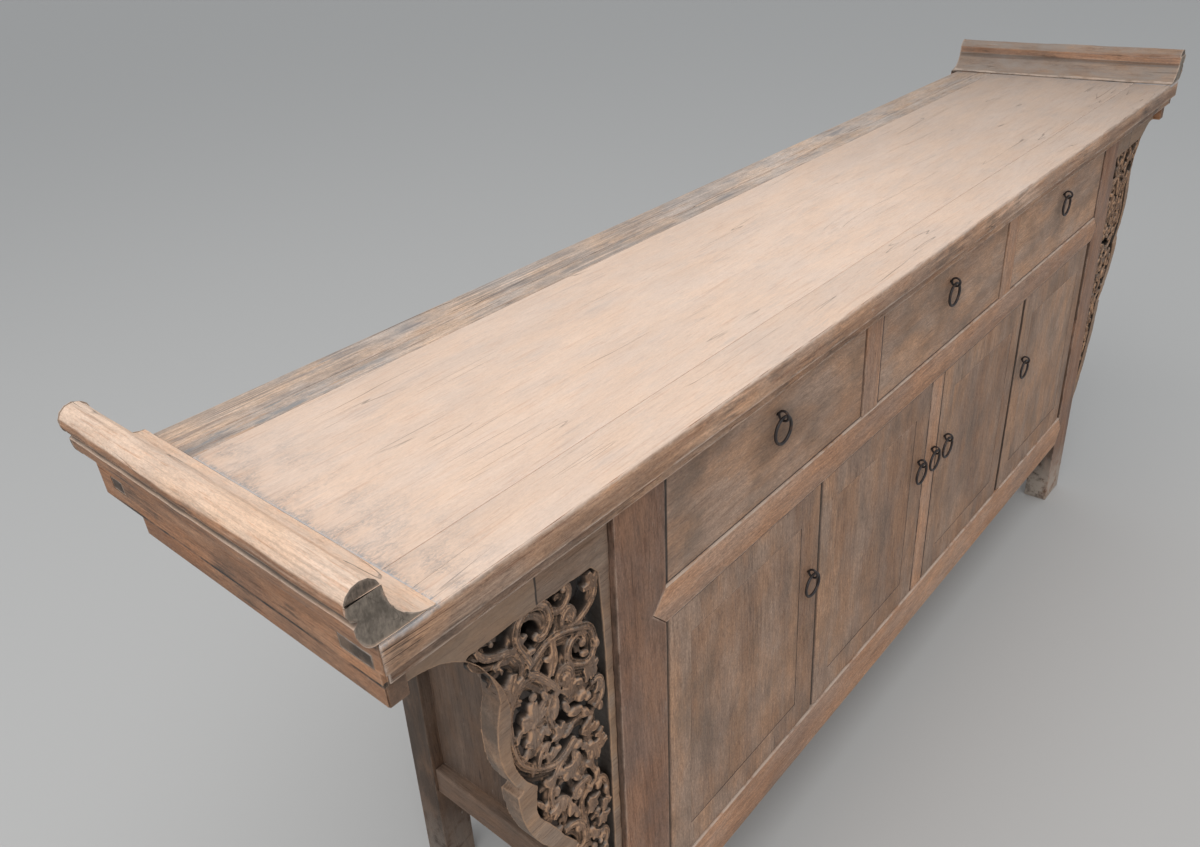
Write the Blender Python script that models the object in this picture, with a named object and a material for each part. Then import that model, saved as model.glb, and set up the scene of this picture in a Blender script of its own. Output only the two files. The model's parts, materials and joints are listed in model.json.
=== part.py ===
"""Altar cabinet: a long coffer with upturned end flanges, three drawers over four pivot doors, carved
spandrels outside its splayed front legs, and iron ring pulls.

Metres, +Z up, front towards -Y, origin on the floor under the middle of the cabinet.
"""

import math

import bmesh
import bpy
from mathutils import Matrix, Vector

# Overall: spread of the legs at their tops, overhang of the top past them, its depth and height
LEG_SPREAD = 1.4875
TOP_OVERHANG = 0.27375
TOP_DEPTH = 0.452
TOP_HEIGHT = 0.860

# Clearances
GAP = 0.0003
DRAWER_RUN = 0.0015
DOOR_RUN = 0.0020

# Rounding of arrises, and how far a cutter runs past what it cuts
ARRIS = 0.0012
PAST = 0.004

# Top: a mitred frame with through tenons, floating boards with tongues, and the bead under its front edge
FRAME_THICK = 0.046
EDGE_BAND = 0.030
EDGE_STEP = 0.007
FRONT_RAIL_WIDTH = 0.068
REAR_BOARD_WIDTH = 0.049
STRIP_WIDTH = 0.029
REAR_SHRINK = 0.014
END_WIDTH = 0.055
BOARD_THICK = 0.024
TONGUE_REACH = 0.008
TONGUE_THICK = 0.010
FRAME_TENON_THICK = 0.014
FRAME_TENON_SHOULDER = 0.013

# Upturned flange on each end: a roll over a cove inside, and a bead outside at its foot
FLANGE_RISE = 0.059
FLANGE_ROLL = 0.017
FLANGE_BEAD_OUT = 0.015
FLANGE_BEAD_RISE = 0.022
FLANGE_LIP = 0.0016

# Apron under each end
APRON_THICK = 0.020
APRON_HEIGHT = 0.029
APRON_SETIN = 0.005
APRON_PROUD = 0.006
APRON_SHORT = 0.058

# Legs, splayed along the length
LEG_WIDTH = 0.078
REAR_LEG_WIDTH = 0.052
LEG_DEPTH = 0.046
SPLAY = 0.042
FRONT_SETBACK = 0.020
REAR_SETBACK = 0.020
LEG_TENON_WIDTH = 0.030
LEG_TENON_THICK = 0.016
LEG_TENON_RISE = 0.020

# Stack of the front: feet and bottom rail, drawers and drawer rail down from the top, doors between
FOOT_HEIGHT = 0.150
BOTTOM_RAIL_HEIGHT = 0.070
DRAWER_HEIGHT = 0.143
DRAWER_RAIL_HEIGHT = 0.047
POINT_REACH = 0.022
POINT_DEPTH = 0.014
RAIL_TENON_THICK = 0.012
RAIL_TENON_SHOULDER = 0.010
TENON_WALL = 0.006

# Sides, back and the boards inside
SIDE_RAIL_HEIGHT = 0.045
SIDE_RAIL_THICK = 0.035
SIDE_RAIL_SETIN = 0.004
SIDE_PANEL_SETIN = 0.020
PANEL_THICK = 0.012
REAR_RAIL_HEIGHT = 0.045
REAR_TENON_REACH = 0.030
BACK_PANEL_SETIN = 0.014
BOARD_INSIDE_THICK = 0.014

# Drawers and the dividers between them
DIVIDER_PLACE = 0.2295
DIVIDER_WIDTH = 0.041
DIVIDER_FIN = 0.016
DRAWER_SETIN = 0.002
DRAWER_FRONT_THICK = 0.020
DRAWER_BOX_DROP = 0.028
DRAWER_BOX_STOP = 0.012
DRAWER_WALL = 0.011
DRAWER_FLOOR = 0.009
DRAWER_RING_DROP = 0.039

# Doors on wooden pivot pins, and the loose stile between the inner pair
DOOR_SEAM = 0.347
DOOR_THICK = 0.022
DOOR_SETIN = 0.002
DOOR_STILE = 0.045
DOOR_PANEL_THICK = 0.013
PIN_RADIUS = 0.006
PIN_REACH = 0.011
PIN_CLEAR = 0.0005
STILE_WIDTH = 0.040
DOOR_RING_INSET = 0.025
DOOR_RING_DROP = 0.129

# Ring pulls
RING_RADIUS = 0.0165
RING_WIRE = 0.0021
EYE_RADIUS = 0.0062
EYE_WIRE = 0.0017
SHANK_RADIUS = 0.0015
SHANK_DEPTH = 0.013

# Spandrel: thickness and borders, then its lobed outer edge as distances out from the leg and down from the top
SPANDREL_THICK = 0.025
SPANDREL_SETIN = 0.006
SPANDREL_WEB = 0.010
SPANDREL_STRIP = 0.047
SPANDREL_STILE = 0.012
SPANDREL_BORDER = 0.024
SPANDREL_BELOW = 0.020
SPANDREL_TIP = 0.018
UPPER_LOBE_OUT = 0.152
UPPER_LOBE_DROP = 0.124
UPPER_CUSP_OUT = 0.136
UPPER_CUSP_DROP = 0.250
MIDDLE_LOBE_OUT = 0.145
MIDDLE_CUSP_OUT = 0.086
MIDDLE_CUSP_DROP = 0.380
LOWER_LOBE_OUT = 0.094
LOBE_SWELL = 0.016
ARC_STEPS = 8

# Places worked out from the sizes above
HALF = LEG_SPREAD / 2 + TOP_OVERHANG
FRONT = -TOP_DEPTH / 2
REAR = TOP_DEPTH / 2
UNDER = TOP_HEIGHT - FRAME_THICK
LEG_TOP = UNDER - GAP
FACE = FRONT + FRONT_SETBACK
FACE_BACK = FACE + LEG_DEPTH
BACK = REAR - REAR_SETBACK
BACK_FRONT = BACK - LEG_DEPTH
FLOOR_LINE = FOOT_HEIGHT + BOTTOM_RAIL_HEIGHT
DRAWER_LINE = UNDER - DRAWER_HEIGHT
DOOR_TOP_LINE = DRAWER_LINE - DRAWER_RAIL_HEIGHT
BOARD_REAR = REAR - REAR_SHRINK
SIDE_RAIL_INNER = SIDE_RAIL_SETIN + SIDE_RAIL_THICK
SIDE_TENON_REACH = LEG_DEPTH - RAIL_TENON_SHOULDER - RAIL_TENON_THICK - TENON_WALL
STRIP_END = HALF - APRON_SETIN - APRON_THICK - GAP
ARCH_LOW = UNDER - UPPER_LOBE_DROP
ARCH_TOP = UNDER - APRON_HEIGHT
EYE_STANDOFF = EYE_RADIUS + EYE_WIRE + GAP
SIDES = {"left": -1, "right": 1}


def clear_scene():
    for obj in list(bpy.data.objects):
        bpy.data.objects.remove(obj, do_unlink=True)


def finish(name, colour, roughness, metallic=0.0):
    """A plain Principled material."""
    material = bpy.data.materials.new(name)
    material.use_nodes = True
    shader = material.node_tree.nodes["Principled BSDF"]
    shader.inputs["Base Color"].default_value = (*colour, 1.0)
    shader.inputs["Roughness"].default_value = roughness
    shader.inputs["Metallic"].default_value = metallic
    material.diffuse_color = (*colour, 1.0)
    return material


clear_scene()
TOP_WOOD = finish("top_wood", (0.45, 0.29, 0.18), 0.62)
FRAME_WOOD = finish("frame_wood", (0.22, 0.13, 0.08), 0.66)
DOOR_WOOD = finish("door_wood", (0.20, 0.125, 0.08), 0.68)
CARVED_WOOD = finish("carved_wood", (0.15, 0.085, 0.05), 0.64)
INNER_WOOD = finish("inner_wood", (0.25, 0.16, 0.10), 0.80)
IRON = finish("iron", (0.035, 0.030, 0.028), 0.50, 1.0)


def add_object(name, body):
    """Links a new object made from a bmesh, with its faces pointing out."""
    bmesh.ops.recalc_face_normals(body, faces=body.faces)
    mesh = bpy.data.meshes.new(name)
    body.to_mesh(mesh)
    body.free()
    obj = bpy.data.objects.new(name, mesh)
    bpy.context.collection.objects.link(obj)
    return obj


def prism(name, outline, axis, low, high):
    """A closed prism: an outline given in the two other axes, extruded along one axis."""
    first, second, along = {"X": (1, 2, 0), "Y": (0, 2, 1), "Z": (0, 1, 2)}[axis]
    body = bmesh.new()
    corners = []
    for point in outline:
        place = Vector()
        place[first] = point[0]
        place[second] = point[1]
        place[along] = low
        corners.append(body.verts.new(place))
    base = body.faces.new(corners)
    grown = bmesh.ops.extrude_face_region(body, geom=[base])["geom"]
    shift = Vector()
    shift[along] = high - low
    bmesh.ops.translate(body, verts=[v for v in grown if isinstance(v, bmesh.types.BMVert)], vec=shift)
    return add_object(name, body)


def block(name, low, high):
    """An upright box between two corners."""
    outline = [(low[0], low[1]), (high[0], low[1]), (high[0], high[1]), (low[0], high[1])]
    return prism(name, outline, "Z", low[2], high[2])


def rod(name, start, end, radius, sides=12):
    """A closed cylinder between two points."""
    start = Vector(start)
    end = Vector(end)
    turn = (end - start).to_track_quat("Z", "X").to_matrix().to_4x4()
    body = bmesh.new()
    bmesh.ops.create_cone(body, cap_ends=True, segments=sides, radius1=radius, radius2=radius,
                          depth=(end - start).length, matrix=Matrix.Translation((start + end) / 2) @ turn)
    return add_object(name, body)


def hoop(name, centre, axis, radius, wire, segments, sides):
    """A closed ring of round wire about the X or Y axis: a wire section spun once round."""
    centre = Vector(centre)
    body = bmesh.new()
    section = bmesh.ops.create_circle(body, segments=sides, radius=wire)["verts"]
    spin_axis = Vector((1, 0, 0)) if axis == "X" else Vector((0, 1, 0))
    # The section lies in the plane that holds the spin axis and the upward direction
    upright = Matrix((spin_axis, (0, 0, 1), spin_axis.cross((0, 0, 1)))).transposed().to_4x4()
    bmesh.ops.transform(body, verts=section, matrix=Matrix.Translation((0, 0, radius)) @ upright)
    edges = list(body.edges)
    bmesh.ops.spin(body, geom=section + edges, axis=spin_axis, cent=(0, 0, 0), steps=segments,
                   angle=2 * math.pi)
    bmesh.ops.remove_doubles(body, verts=body.verts, dist=0.00001)
    bmesh.ops.translate(body, verts=body.verts, vec=centre)
    obj = add_object(name, body)
    obj.data.shade_smooth()
    return obj


def soften(obj):
    """Rounds the sharp arrises of a plain board."""
    bevel = obj.modifiers.new("arris", "BEVEL")
    bevel.width = ARRIS
    bevel.segments = 2
    bevel.limit_method = "ANGLE"
    bevel.angle_limit = math.radians(40)
    return obj


def combine(obj, other, operation):
    """Cuts or adds a helper solid, which is then hidden."""
    change = obj.modifiers.new(operation.lower(), "BOOLEAN")
    change.operation = operation
    change.solver = "EXACT"
    change.object = other
    other.hide_render = True
    other.display_type = "WIRE"


def cut(obj, *cutters):
    for cutter in cutters:
        combine(obj, cutter, "DIFFERENCE")


def join(obj, *additions):
    for addition in additions:
        combine(obj, addition, "UNION")


def dress(material, *objects):
    for obj in objects:
        obj.data.materials.append(material)


def pivot(name, point):
    """An empty on a joint's axis, to carry the pieces that move with it."""
    empty = bpy.data.objects.new(name, None)
    empty.empty_display_size = 0.03
    empty.location = point
    bpy.context.collection.objects.link(empty)
    return empty


def carry(parent, *children):
    """Parents pieces without moving them."""
    for child in children:
        child.parent = parent
        child.matrix_parent_inverse = Matrix.Translation(parent.location).inverted()


def set_origin(obj, point):
    """Puts an object's origin on a point and leaves its shape where it is."""
    obj.data.transform(Matrix.Translation(-Vector(point)))
    obj.location = point


def arc(start, end, swell):
    """Points of a circular arc from start to end, which stands off its chord by swell to the left."""
    start = Vector(start)
    end = Vector(end)
    chord = end - start
    left = Vector((-chord.y, chord.x)).normalized()
    radius = (chord.length ** 2 / 4 + swell ** 2) / (2 * abs(swell))
    middle = (start + end) / 2
    centre = middle + left * (swell - math.copysign(radius, swell))
    first = math.atan2(start.y - centre.y, start.x - centre.x)
    sweep = math.atan2(end.y - centre.y, end.x - centre.x) - first
    sweep = (sweep + math.pi) % (2 * math.pi) - math.pi
    turns = [first + sweep * step / ARC_STEPS for step in range(ARC_STEPS + 1)]
    return [(centre.x + radius * math.cos(turn), centre.y + radius * math.sin(turn)) for turn in turns]


def ellipse(centre, across, up, first, last):
    """Points of an elliptic arc between two angles in degrees."""
    turns = [math.radians(first + (last - first) * step / ARC_STEPS) for step in range(ARC_STEPS + 1)]
    return [(centre[0] + across * math.cos(turn), centre[1] + up * math.sin(turn)) for turn in turns]


def mirrored(outline, side):
    return [(side * point[0], point[1]) for point in outline]


def leg_out(z):
    """Outer face of the splayed legs, on the right, at a height."""
    return LEG_SPREAD / 2 + SPLAY * (LEG_TOP - z)


def leg_in(z):
    """Inner face of the front legs."""
    return leg_out(z) - LEG_WIDTH


def rear_leg_in(z):
    """Inner face of the rear legs."""
    return leg_out(z) - REAR_LEG_WIDTH


def splayed(near, far, low, high):
    """Outline of a slanted bar on the right side, between two distances in from the legs' outer face."""
    return [(leg_out(low) - far, low), (leg_out(low) - near, low),
            (leg_out(high) - near, high), (leg_out(high) - far, high)]


def spanning(edge, low, high):
    """Outline of a bar that spans from side to side up to a slanted edge, given as a function of height."""
    return [(-edge(low), low), (edge(low), low), (edge(high), high), (-edge(high), high)]


def frame_tenon(name, y_low, y_high, side, clearance):
    """The through tenon of a long top member, or with a clearance the hole for it."""
    middle = TOP_HEIGHT - FRAME_THICK / 2
    outer = HALF + (PAST if clearance else 0)
    inner = HALF - END_WIDTH - PAST
    half_thick = FRAME_TENON_THICK / 2 + clearance
    x_low, x_high = sorted((side * inner, side * outer))
    return block(name, (x_low, y_low + FRAME_TENON_SHOULDER - clearance, middle - half_thick),
                 (x_high, y_high - FRAME_TENON_SHOULDER + clearance, middle + half_thick))


def leg_tenon(name, side, width, y_low, clearance):
    """The tenon on top of a leg, or with a clearance its mortise in the top."""
    middle = side * (leg_out(LEG_TOP) - width / 2)
    depth = y_low + LEG_DEPTH / 2
    half_x = LEG_TENON_WIDTH / 2 + clearance
    half_y = LEG_TENON_THICK / 2 + clearance
    return block(name, (middle - half_x, depth - half_y, LEG_TOP - PAST),
                 (middle + half_x, depth + half_y, LEG_TOP + LEG_TENON_RISE + clearance))


def make_top():
    """Mitred frame, floating boards and the flanges that stand on its ends."""
    seam = FRONT + FRONT_RAIL_WIDTH
    strip_rear = BOARD_REAR - REAR_BOARD_WIDTH
    main_rear = strip_rear - STRIP_WIDTH
    board_end = HALF - END_WIDTH - GAP
    board_low = TOP_HEIGHT - BOARD_THICK
    tongue_end = board_end + TONGUE_REACH
    tongue_low = TOP_HEIGHT - BOARD_THICK / 2 - TONGUE_THICK / 2
    tongue_high = tongue_low + TONGUE_THICK

    outline = [(-HALF, FRONT), (HALF, FRONT), (HALF - END_WIDTH, seam), (END_WIDTH - HALF, seam)]
    front_rail = soften(prism("top_front_rail", outline, "Z", UNDER, TOP_HEIGHT))
    bead = block("bead_cutter", (-HALF - PAST, FRONT - PAST, UNDER - PAST),
                 (HALF + PAST, FRONT + EDGE_STEP, TOP_HEIGHT - EDGE_BAND))
    cut(front_rail, bead)

    rear_board = soften(block("top_rear_board", (-board_end, strip_rear, UNDER),
                              (board_end, BOARD_REAR, TOP_HEIGHT)))
    main_board = soften(block("top_main_board", (-board_end, seam + GAP, board_low),
                              (board_end, main_rear - GAP, TOP_HEIGHT)))
    strip = soften(block("top_strip", (-board_end, main_rear, board_low),
                         (board_end, strip_rear - GAP, TOP_HEIGHT)))
    # One long tongue runs round the two floating boards: into the frame, and from the main board to the strip
    join(main_board, block("main_tongue", (-tongue_end, seam - TONGUE_REACH, tongue_low),
                           (tongue_end, main_rear + TONGUE_REACH, tongue_high)))
    join(strip, block("strip_tongue", (-tongue_end, main_rear + TONGUE_REACH + PAST, tongue_low),
                      (tongue_end, strip_rear + TONGUE_REACH, tongue_high)))
    groove = block("groove_cutter", (-tongue_end - GAP, seam - TONGUE_REACH - GAP, tongue_low - GAP),
                   (tongue_end + GAP, strip_rear + TONGUE_REACH + GAP, tongue_high + GAP))
    strip_groove = block("strip_groove_cutter", (-HALF, main_rear - PAST, tongue_low - GAP),
                         (HALF, main_rear + TONGUE_REACH + GAP, tongue_high + GAP))
    cut(strip, strip_groove)
    cut(front_rail, groove)
    cut(rear_board, groove)

    for label, side in SIDES.items():
        mitre = [(HALF, FRONT + 2 * GAP), (HALF, REAR), (HALF - END_WIDTH, REAR),
                 (HALF - END_WIDTH, seam + 2 * GAP)]
        end = soften(prism("top_end_" + label, mirrored(mitre, side), "Z", UNDER, TOP_HEIGHT))
        cut(end, bead, groove)
        for member, y_low, y_high in ((front_rail, FRONT, seam), (rear_board, strip_rear, BOARD_REAR)):
            join(member, frame_tenon(member.name + "_tenon_" + label, y_low, y_high, side, 0))
            cut(end, frame_tenon(member.name + "_mortise_" + label, y_low, y_high, side, GAP))
        cut(front_rail, leg_tenon("front_mortise_" + label, side, LEG_WIDTH, FACE, GAP))
        cut(rear_board, leg_tenon("rear_mortise_" + label, side, REAR_LEG_WIDTH, BACK_FRONT, GAP))
        flange = soften(prism("flange_" + label, mirrored(flange_outline(), side), "Y", FRONT, REAR))
        dress(TOP_WOOD, end, flange)
    dress(TOP_WOOD, front_rail, rear_board, main_board, strip)


def flange_outline():
    """Section of the right flange: cove up from the boards, roll over the top, bead at its outer foot."""
    foot = TOP_HEIGHT + GAP
    roll_centre = (HALF + FLANGE_ROLL - FLANGE_BEAD_OUT, foot + FLANGE_RISE - FLANGE_ROLL)
    cove_start = roll_centre[0] - FLANGE_ROLL
    cove_across = cove_start - (HALF - END_WIDTH)
    cove_rise = roll_centre[1] - foot - FLANGE_LIP
    cove = ellipse((HALF - END_WIDTH, roll_centre[1]), cove_across, cove_rise, 270, 360)
    roll = ellipse(roll_centre, FLANGE_ROLL, FLANGE_ROLL, 170, -35)
    bead = ellipse((HALF, foot + FLANGE_BEAD_RISE), FLANGE_BEAD_OUT, FLANGE_BEAD_RISE, 0, -90)
    return [(HALF - END_WIDTH, foot)] + cove + roll + bead


def make_aprons():
    """The low apron under each end of the top."""
    for label, side in SIDES.items():
        outer = HALF - APRON_SETIN
        x_low, x_high = sorted((side * (outer - APRON_THICK), side * outer))
        front = FACE - APRON_PROUD
        apron = soften(block("end_apron_" + label, (x_low, front, UNDER - APRON_HEIGHT),
                             (x_high, REAR - APRON_SHORT, LEG_TOP)))
        dress(FRAME_WOOD, apron)


def arch_edge(inset, first):
    """The arch of a spandrel's outer edge from an angle in degrees down to its lobes, moved in by an inset."""
    centre = (STRIP_END - leg_out(ARCH_TOP), ARCH_LOW)
    return ellipse(centre, centre[0] - UPPER_LOBE_OUT + inset, ARCH_TOP - ARCH_LOW + inset, first, 180)


def lobe_edge(inset):
    """The upper and middle lobes of a spandrel's outer edge, moved in by an inset."""
    upper_cusp = UNDER - UPPER_CUSP_DROP
    middle_cusp = UNDER - MIDDLE_CUSP_DROP
    upper = arc((UPPER_LOBE_OUT - inset, ARCH_LOW), (UPPER_CUSP_OUT - inset, upper_cusp), LOBE_SWELL)
    middle = arc((MIDDLE_LOBE_OUT - inset, upper_cusp - inset / 2), (MIDDLE_CUSP_OUT - inset, middle_cusp),
                 LOBE_SWELL)
    return upper[1:] + middle


def beside_leg(edge):
    """Turns distances out from the right leg into places along the cabinet."""
    return [(leg_out(z) + GAP + out, z) for out, z in edge]


def spandrel_outline():
    """Outline of the right spandrel: strip under the top, three lobes, and the slanted edge by the leg."""
    foot = FLOOR_LINE - SPANDREL_BELOW
    lower = arc((LOWER_LOBE_OUT, UNDER - MIDDLE_CUSP_DROP), (SPANDREL_TIP, foot), LOBE_SWELL)
    edge = beside_leg(arch_edge(0, 90)[1:] + lobe_edge(0) + lower)
    strip = [(STRIP_END, LEG_TOP), (STRIP_END, ARCH_TOP)]
    return strip + edge + beside_leg([(0, foot), (0, LEG_TOP)])


def spandrel_field():
    """Outline of the carved field of the right spandrel, inside its border."""
    border = SPANDREL_BORDER
    strip_low = LEG_TOP - SPANDREL_STRIP
    corner = math.degrees(math.asin((strip_low - ARCH_LOW) / (ARCH_TOP - ARCH_LOW + border)))
    lower = [(LOWER_LOBE_OUT - border, UNDER - MIDDLE_CUSP_DROP - border / 2),
             (SPANDREL_STILE, FLOOR_LINE + border)]
    edge = arch_edge(border, 180 - corner) + lobe_edge(border) + lower
    return beside_leg([(SPANDREL_STILE, strip_low)] + edge)


def make_spandrels():
    """The carved boards in the corners between the front legs and the top."""
    front = FACE + SPANDREL_SETIN
    web_front = front + (SPANDREL_THICK - SPANDREL_WEB) / 2
    for label, side in SIDES.items():
        outline = mirrored(spandrel_outline(), side)
        board = prism("spandrel_" + label, outline, "Y", front, front + SPANDREL_THICK)
        field = mirrored(spandrel_field(), side)
        cut(board, prism("field_cutter_" + label, field, "Y", front - PAST, web_front))
        dress(CARVED_WOOD, board)


def pointed_outline(low, high, side, clearance):
    """The pointed shoulder of a rail over the face of a leg, or with a clearance the notch for it."""
    middle = (low + high) / 2
    inside = PAST
    return mirrored([(leg_in(low) - inside, low - clearance), (leg_in(low) + clearance, low - clearance),
                     (leg_in(middle) + POINT_REACH + 2 * clearance, middle),
                     (leg_in(high) + clearance, high + clearance), (leg_in(high) - inside, high + clearance)],
                    side)


def rail_tenon(name, low, high, clearance):
    """One long tenon through a front rail into both legs, or with a clearance the mortises for it."""
    front = FACE + POINT_DEPTH + RAIL_TENON_SHOULDER
    shoulder = RAIL_TENON_SHOULDER - clearance
    outline = spanning(lambda z: leg_out(z) - SIDE_RAIL_INNER + clearance, low + shoulder, high - shoulder)
    return prism(name, outline, "Y", front - clearance, front + RAIL_TENON_THICK + clearance)


def make_front_rail(name, low, high):
    """A rail between the front legs with pointed shoulders on its face and a tenon behind them."""
    middle = (low + high) / 2
    tip = leg_in(middle) + POINT_REACH
    outline = [(-leg_in(low) + GAP, low), (leg_in(low) - GAP, low), (tip, middle),
               (leg_in(high) - GAP, high), (-leg_in(high) + GAP, high), (-tip, middle)]
    rail = soften(prism(name, outline, "Y", FACE, FACE_BACK))
    for label, side in SIDES.items():
        past = POINT_REACH + PAST
        behind = [(leg_in(low - PAST) - GAP, low - PAST), (leg_in(low - PAST) + past, low - PAST),
                  (leg_in(high + PAST) + past, high + PAST), (leg_in(high + PAST) - GAP, high + PAST)]
        cut(rail, prism(name + "_shoulder_" + label, mirrored(behind, side), "Y", FACE + POINT_DEPTH,
                        FACE_BACK + PAST))
    join(rail, rail_tenon(name + "_tenon", low, high, 0))
    dress(FRAME_WOOD, rail)
    return rail


def side_tenon(name, side, clearance):
    """One long tenon through a side rail into its two legs, or with a clearance the mortises for it."""
    shoulder = RAIL_TENON_SHOULDER - clearance
    outline = splayed(SIDE_RAIL_SETIN + shoulder, SIDE_RAIL_INNER - shoulder,
                      FLOOR_LINE - SIDE_RAIL_HEIGHT + shoulder, FLOOR_LINE - shoulder)
    reach = SIDE_TENON_REACH + clearance
    return prism(name, mirrored(outline, side), "Y", FACE_BACK - reach, BACK_FRONT + reach)


def rear_tenon(name, low, high, clearance):
    """One long tenon through a rear rail into both rear legs, or with a clearance the mortises for it."""
    shoulder = RAIL_TENON_SHOULDER - clearance
    rear = BACK - RAIL_TENON_SHOULDER
    reach = REAR_TENON_REACH + clearance
    outline = spanning(lambda z: rear_leg_in(z) + reach, low + shoulder, high - shoulder)
    return prism(name, outline, "Y", rear - RAIL_TENON_THICK - clearance, rear + clearance)


def rear_rail_lines():
    """Lower and upper line of the two rear rails."""
    return {"rear_top_rail": (LEG_TOP - REAR_RAIL_HEIGHT, LEG_TOP),
            "rear_bottom_rail": (FLOOR_LINE - REAR_RAIL_HEIGHT, FLOOR_LINE)}


def make_legs():
    """Four splayed legs with mortises for the rails and tenons for the top."""
    front_rails = {"drawer": (DOOR_TOP_LINE, DRAWER_LINE), "bottom": (FOOT_HEIGHT, FLOOR_LINE)}
    for label, side in SIDES.items():
        outline = mirrored(splayed(0, LEG_WIDTH, 0, LEG_TOP), side)
        leg = soften(prism("leg_front_" + label, outline, "Y", FACE, FACE_BACK))
        for rail, (low, high) in front_rails.items():
            notch = pointed_outline(low, high, side, GAP)
            cut(leg, prism(rail + "_notch_" + label, notch, "Y", FACE - PAST, FACE + POINT_DEPTH + GAP))
            cut(leg, rail_tenon(rail + "_mortise_" + label, low, high, GAP))
        cut(leg, side_tenon("front_side_mortise_" + label, side, GAP))
        join(leg, leg_tenon("front_leg_tenon_" + label, side, LEG_WIDTH, FACE, 0))

        outline = mirrored(splayed(0, REAR_LEG_WIDTH, 0, LEG_TOP), side)
        rear_leg = soften(prism("leg_rear_" + label, outline, "Y", BACK_FRONT, BACK))
        for rail, (low, high) in rear_rail_lines().items():
            cut(rear_leg, rear_tenon(rail + "_mortise_" + label, low, high, GAP))
        cut(rear_leg, side_tenon("rear_side_mortise_" + label, side, GAP))
        join(rear_leg, leg_tenon("rear_leg_tenon_" + label, side, REAR_LEG_WIDTH, BACK_FRONT, 0))
        dress(FRAME_WOOD, leg, rear_leg)


def make_sides_and_back():
    """Side rails and panels, rear rails and panel."""
    front = FACE_BACK + GAP
    rear = BACK_FRONT - GAP
    for label, side in SIDES.items():
        bar = splayed(SIDE_RAIL_SETIN, SIDE_RAIL_INNER, FLOOR_LINE - SIDE_RAIL_HEIGHT, FLOOR_LINE)
        rail = soften(prism("side_rail_" + label, mirrored(bar, side), "Y", front, rear))
        join(rail, side_tenon("side_tenon_" + label, side, 0))
        sheet = splayed(SIDE_PANEL_SETIN, SIDE_PANEL_SETIN + PANEL_THICK, FLOOR_LINE + GAP, LEG_TOP)
        panel = prism("side_panel_" + label, mirrored(sheet, side), "Y", front, rear)
        dress(FRAME_WOOD, rail, panel)
    for name, (low, high) in rear_rail_lines().items():
        bar = spanning(lambda z: rear_leg_in(z) - GAP, low, high)
        rail = soften(prism(name, bar, "Y", BACK_FRONT, BACK))
        join(rail, rear_tenon(name + "_tenon", low, high, 0))
        dress(FRAME_WOOD, rail)
    sheet = spanning(lambda z: rear_leg_in(z) - GAP, FLOOR_LINE + GAP, LEG_TOP - REAR_RAIL_HEIGHT - GAP)
    panel = prism("back_panel", sheet, "Y", BACK - BACK_PANEL_SETIN - PANEL_THICK, BACK - BACK_PANEL_SETIN)
    dress(INNER_WOOD, panel)


def make_inner_boards():
    """The cupboard floor, the dust board under the drawers, and the dividers between the drawers."""
    front = FACE_BACK + GAP
    rear = BACK_FRONT - GAP
    outline = spanning(lambda z: leg_out(z) - SIDE_RAIL_INNER - GAP, FLOOR_LINE - BOARD_INSIDE_THICK,
                       FLOOR_LINE)
    floor = prism("cupboard_floor", outline, "Y", front, rear)
    dust_edge = SIDE_PANEL_SETIN + PANEL_THICK + GAP
    outline = spanning(lambda z: leg_out(z) - dust_edge, DRAWER_LINE - BOARD_INSIDE_THICK, DRAWER_LINE)
    dust_board = prism("dust_board", outline, "Y", front, rear)
    dress(INNER_WOOD, floor, dust_board)
    for label, side in SIDES.items():
        middle = side * DIVIDER_PLACE
        post = DIVIDER_WIDTH / 2
        fin = DIVIDER_FIN / 2
        outline = [(middle - post, FACE), (middle + post, FACE), (middle + post, FACE_BACK),
                   (middle + fin, FACE_BACK), (middle + fin, rear), (middle - fin, rear),
                   (middle - fin, FACE_BACK), (middle - post, FACE_BACK)]
        divider = soften(prism("divider_" + label, outline, "Z", DRAWER_LINE + GAP, LEG_TOP))
        dress(FRAME_WOOD, divider)


def make_pull(name, holder, x, face, z, carrier):
    """An iron ring in an eye staple, driven into a wooden piece at a place on its face."""
    eye = Vector((x, face - EYE_STANDOFF, z))
    staple = hoop("staple_" + name, eye, "X", EYE_RADIUS, EYE_WIRE, 14, 8)
    start = eye + Vector((0, EYE_RADIUS, 0))
    end = Vector((x, face + SHANK_DEPTH, z))
    join(staple, rod("shank_" + name, start, end, SHANK_RADIUS, 8))
    cut(holder, rod("shank_hole_" + name, Vector((x, face - PAST, z)), end + Vector((0, GAP, 0)),
                    SHANK_RADIUS + GAP, 8))
    hang = eye - Vector((0, 0, EYE_RADIUS - EYE_WIRE - RING_WIRE - GAP))
    ring = hoop("ring_" + name, hang - Vector((0, 0, RING_RADIUS)), "Y", RING_RADIUS, RING_WIRE, 24, 8)
    set_origin(ring, hang)
    carry(carrier, staple, ring)
    dress(IRON, staple, ring)


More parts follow.
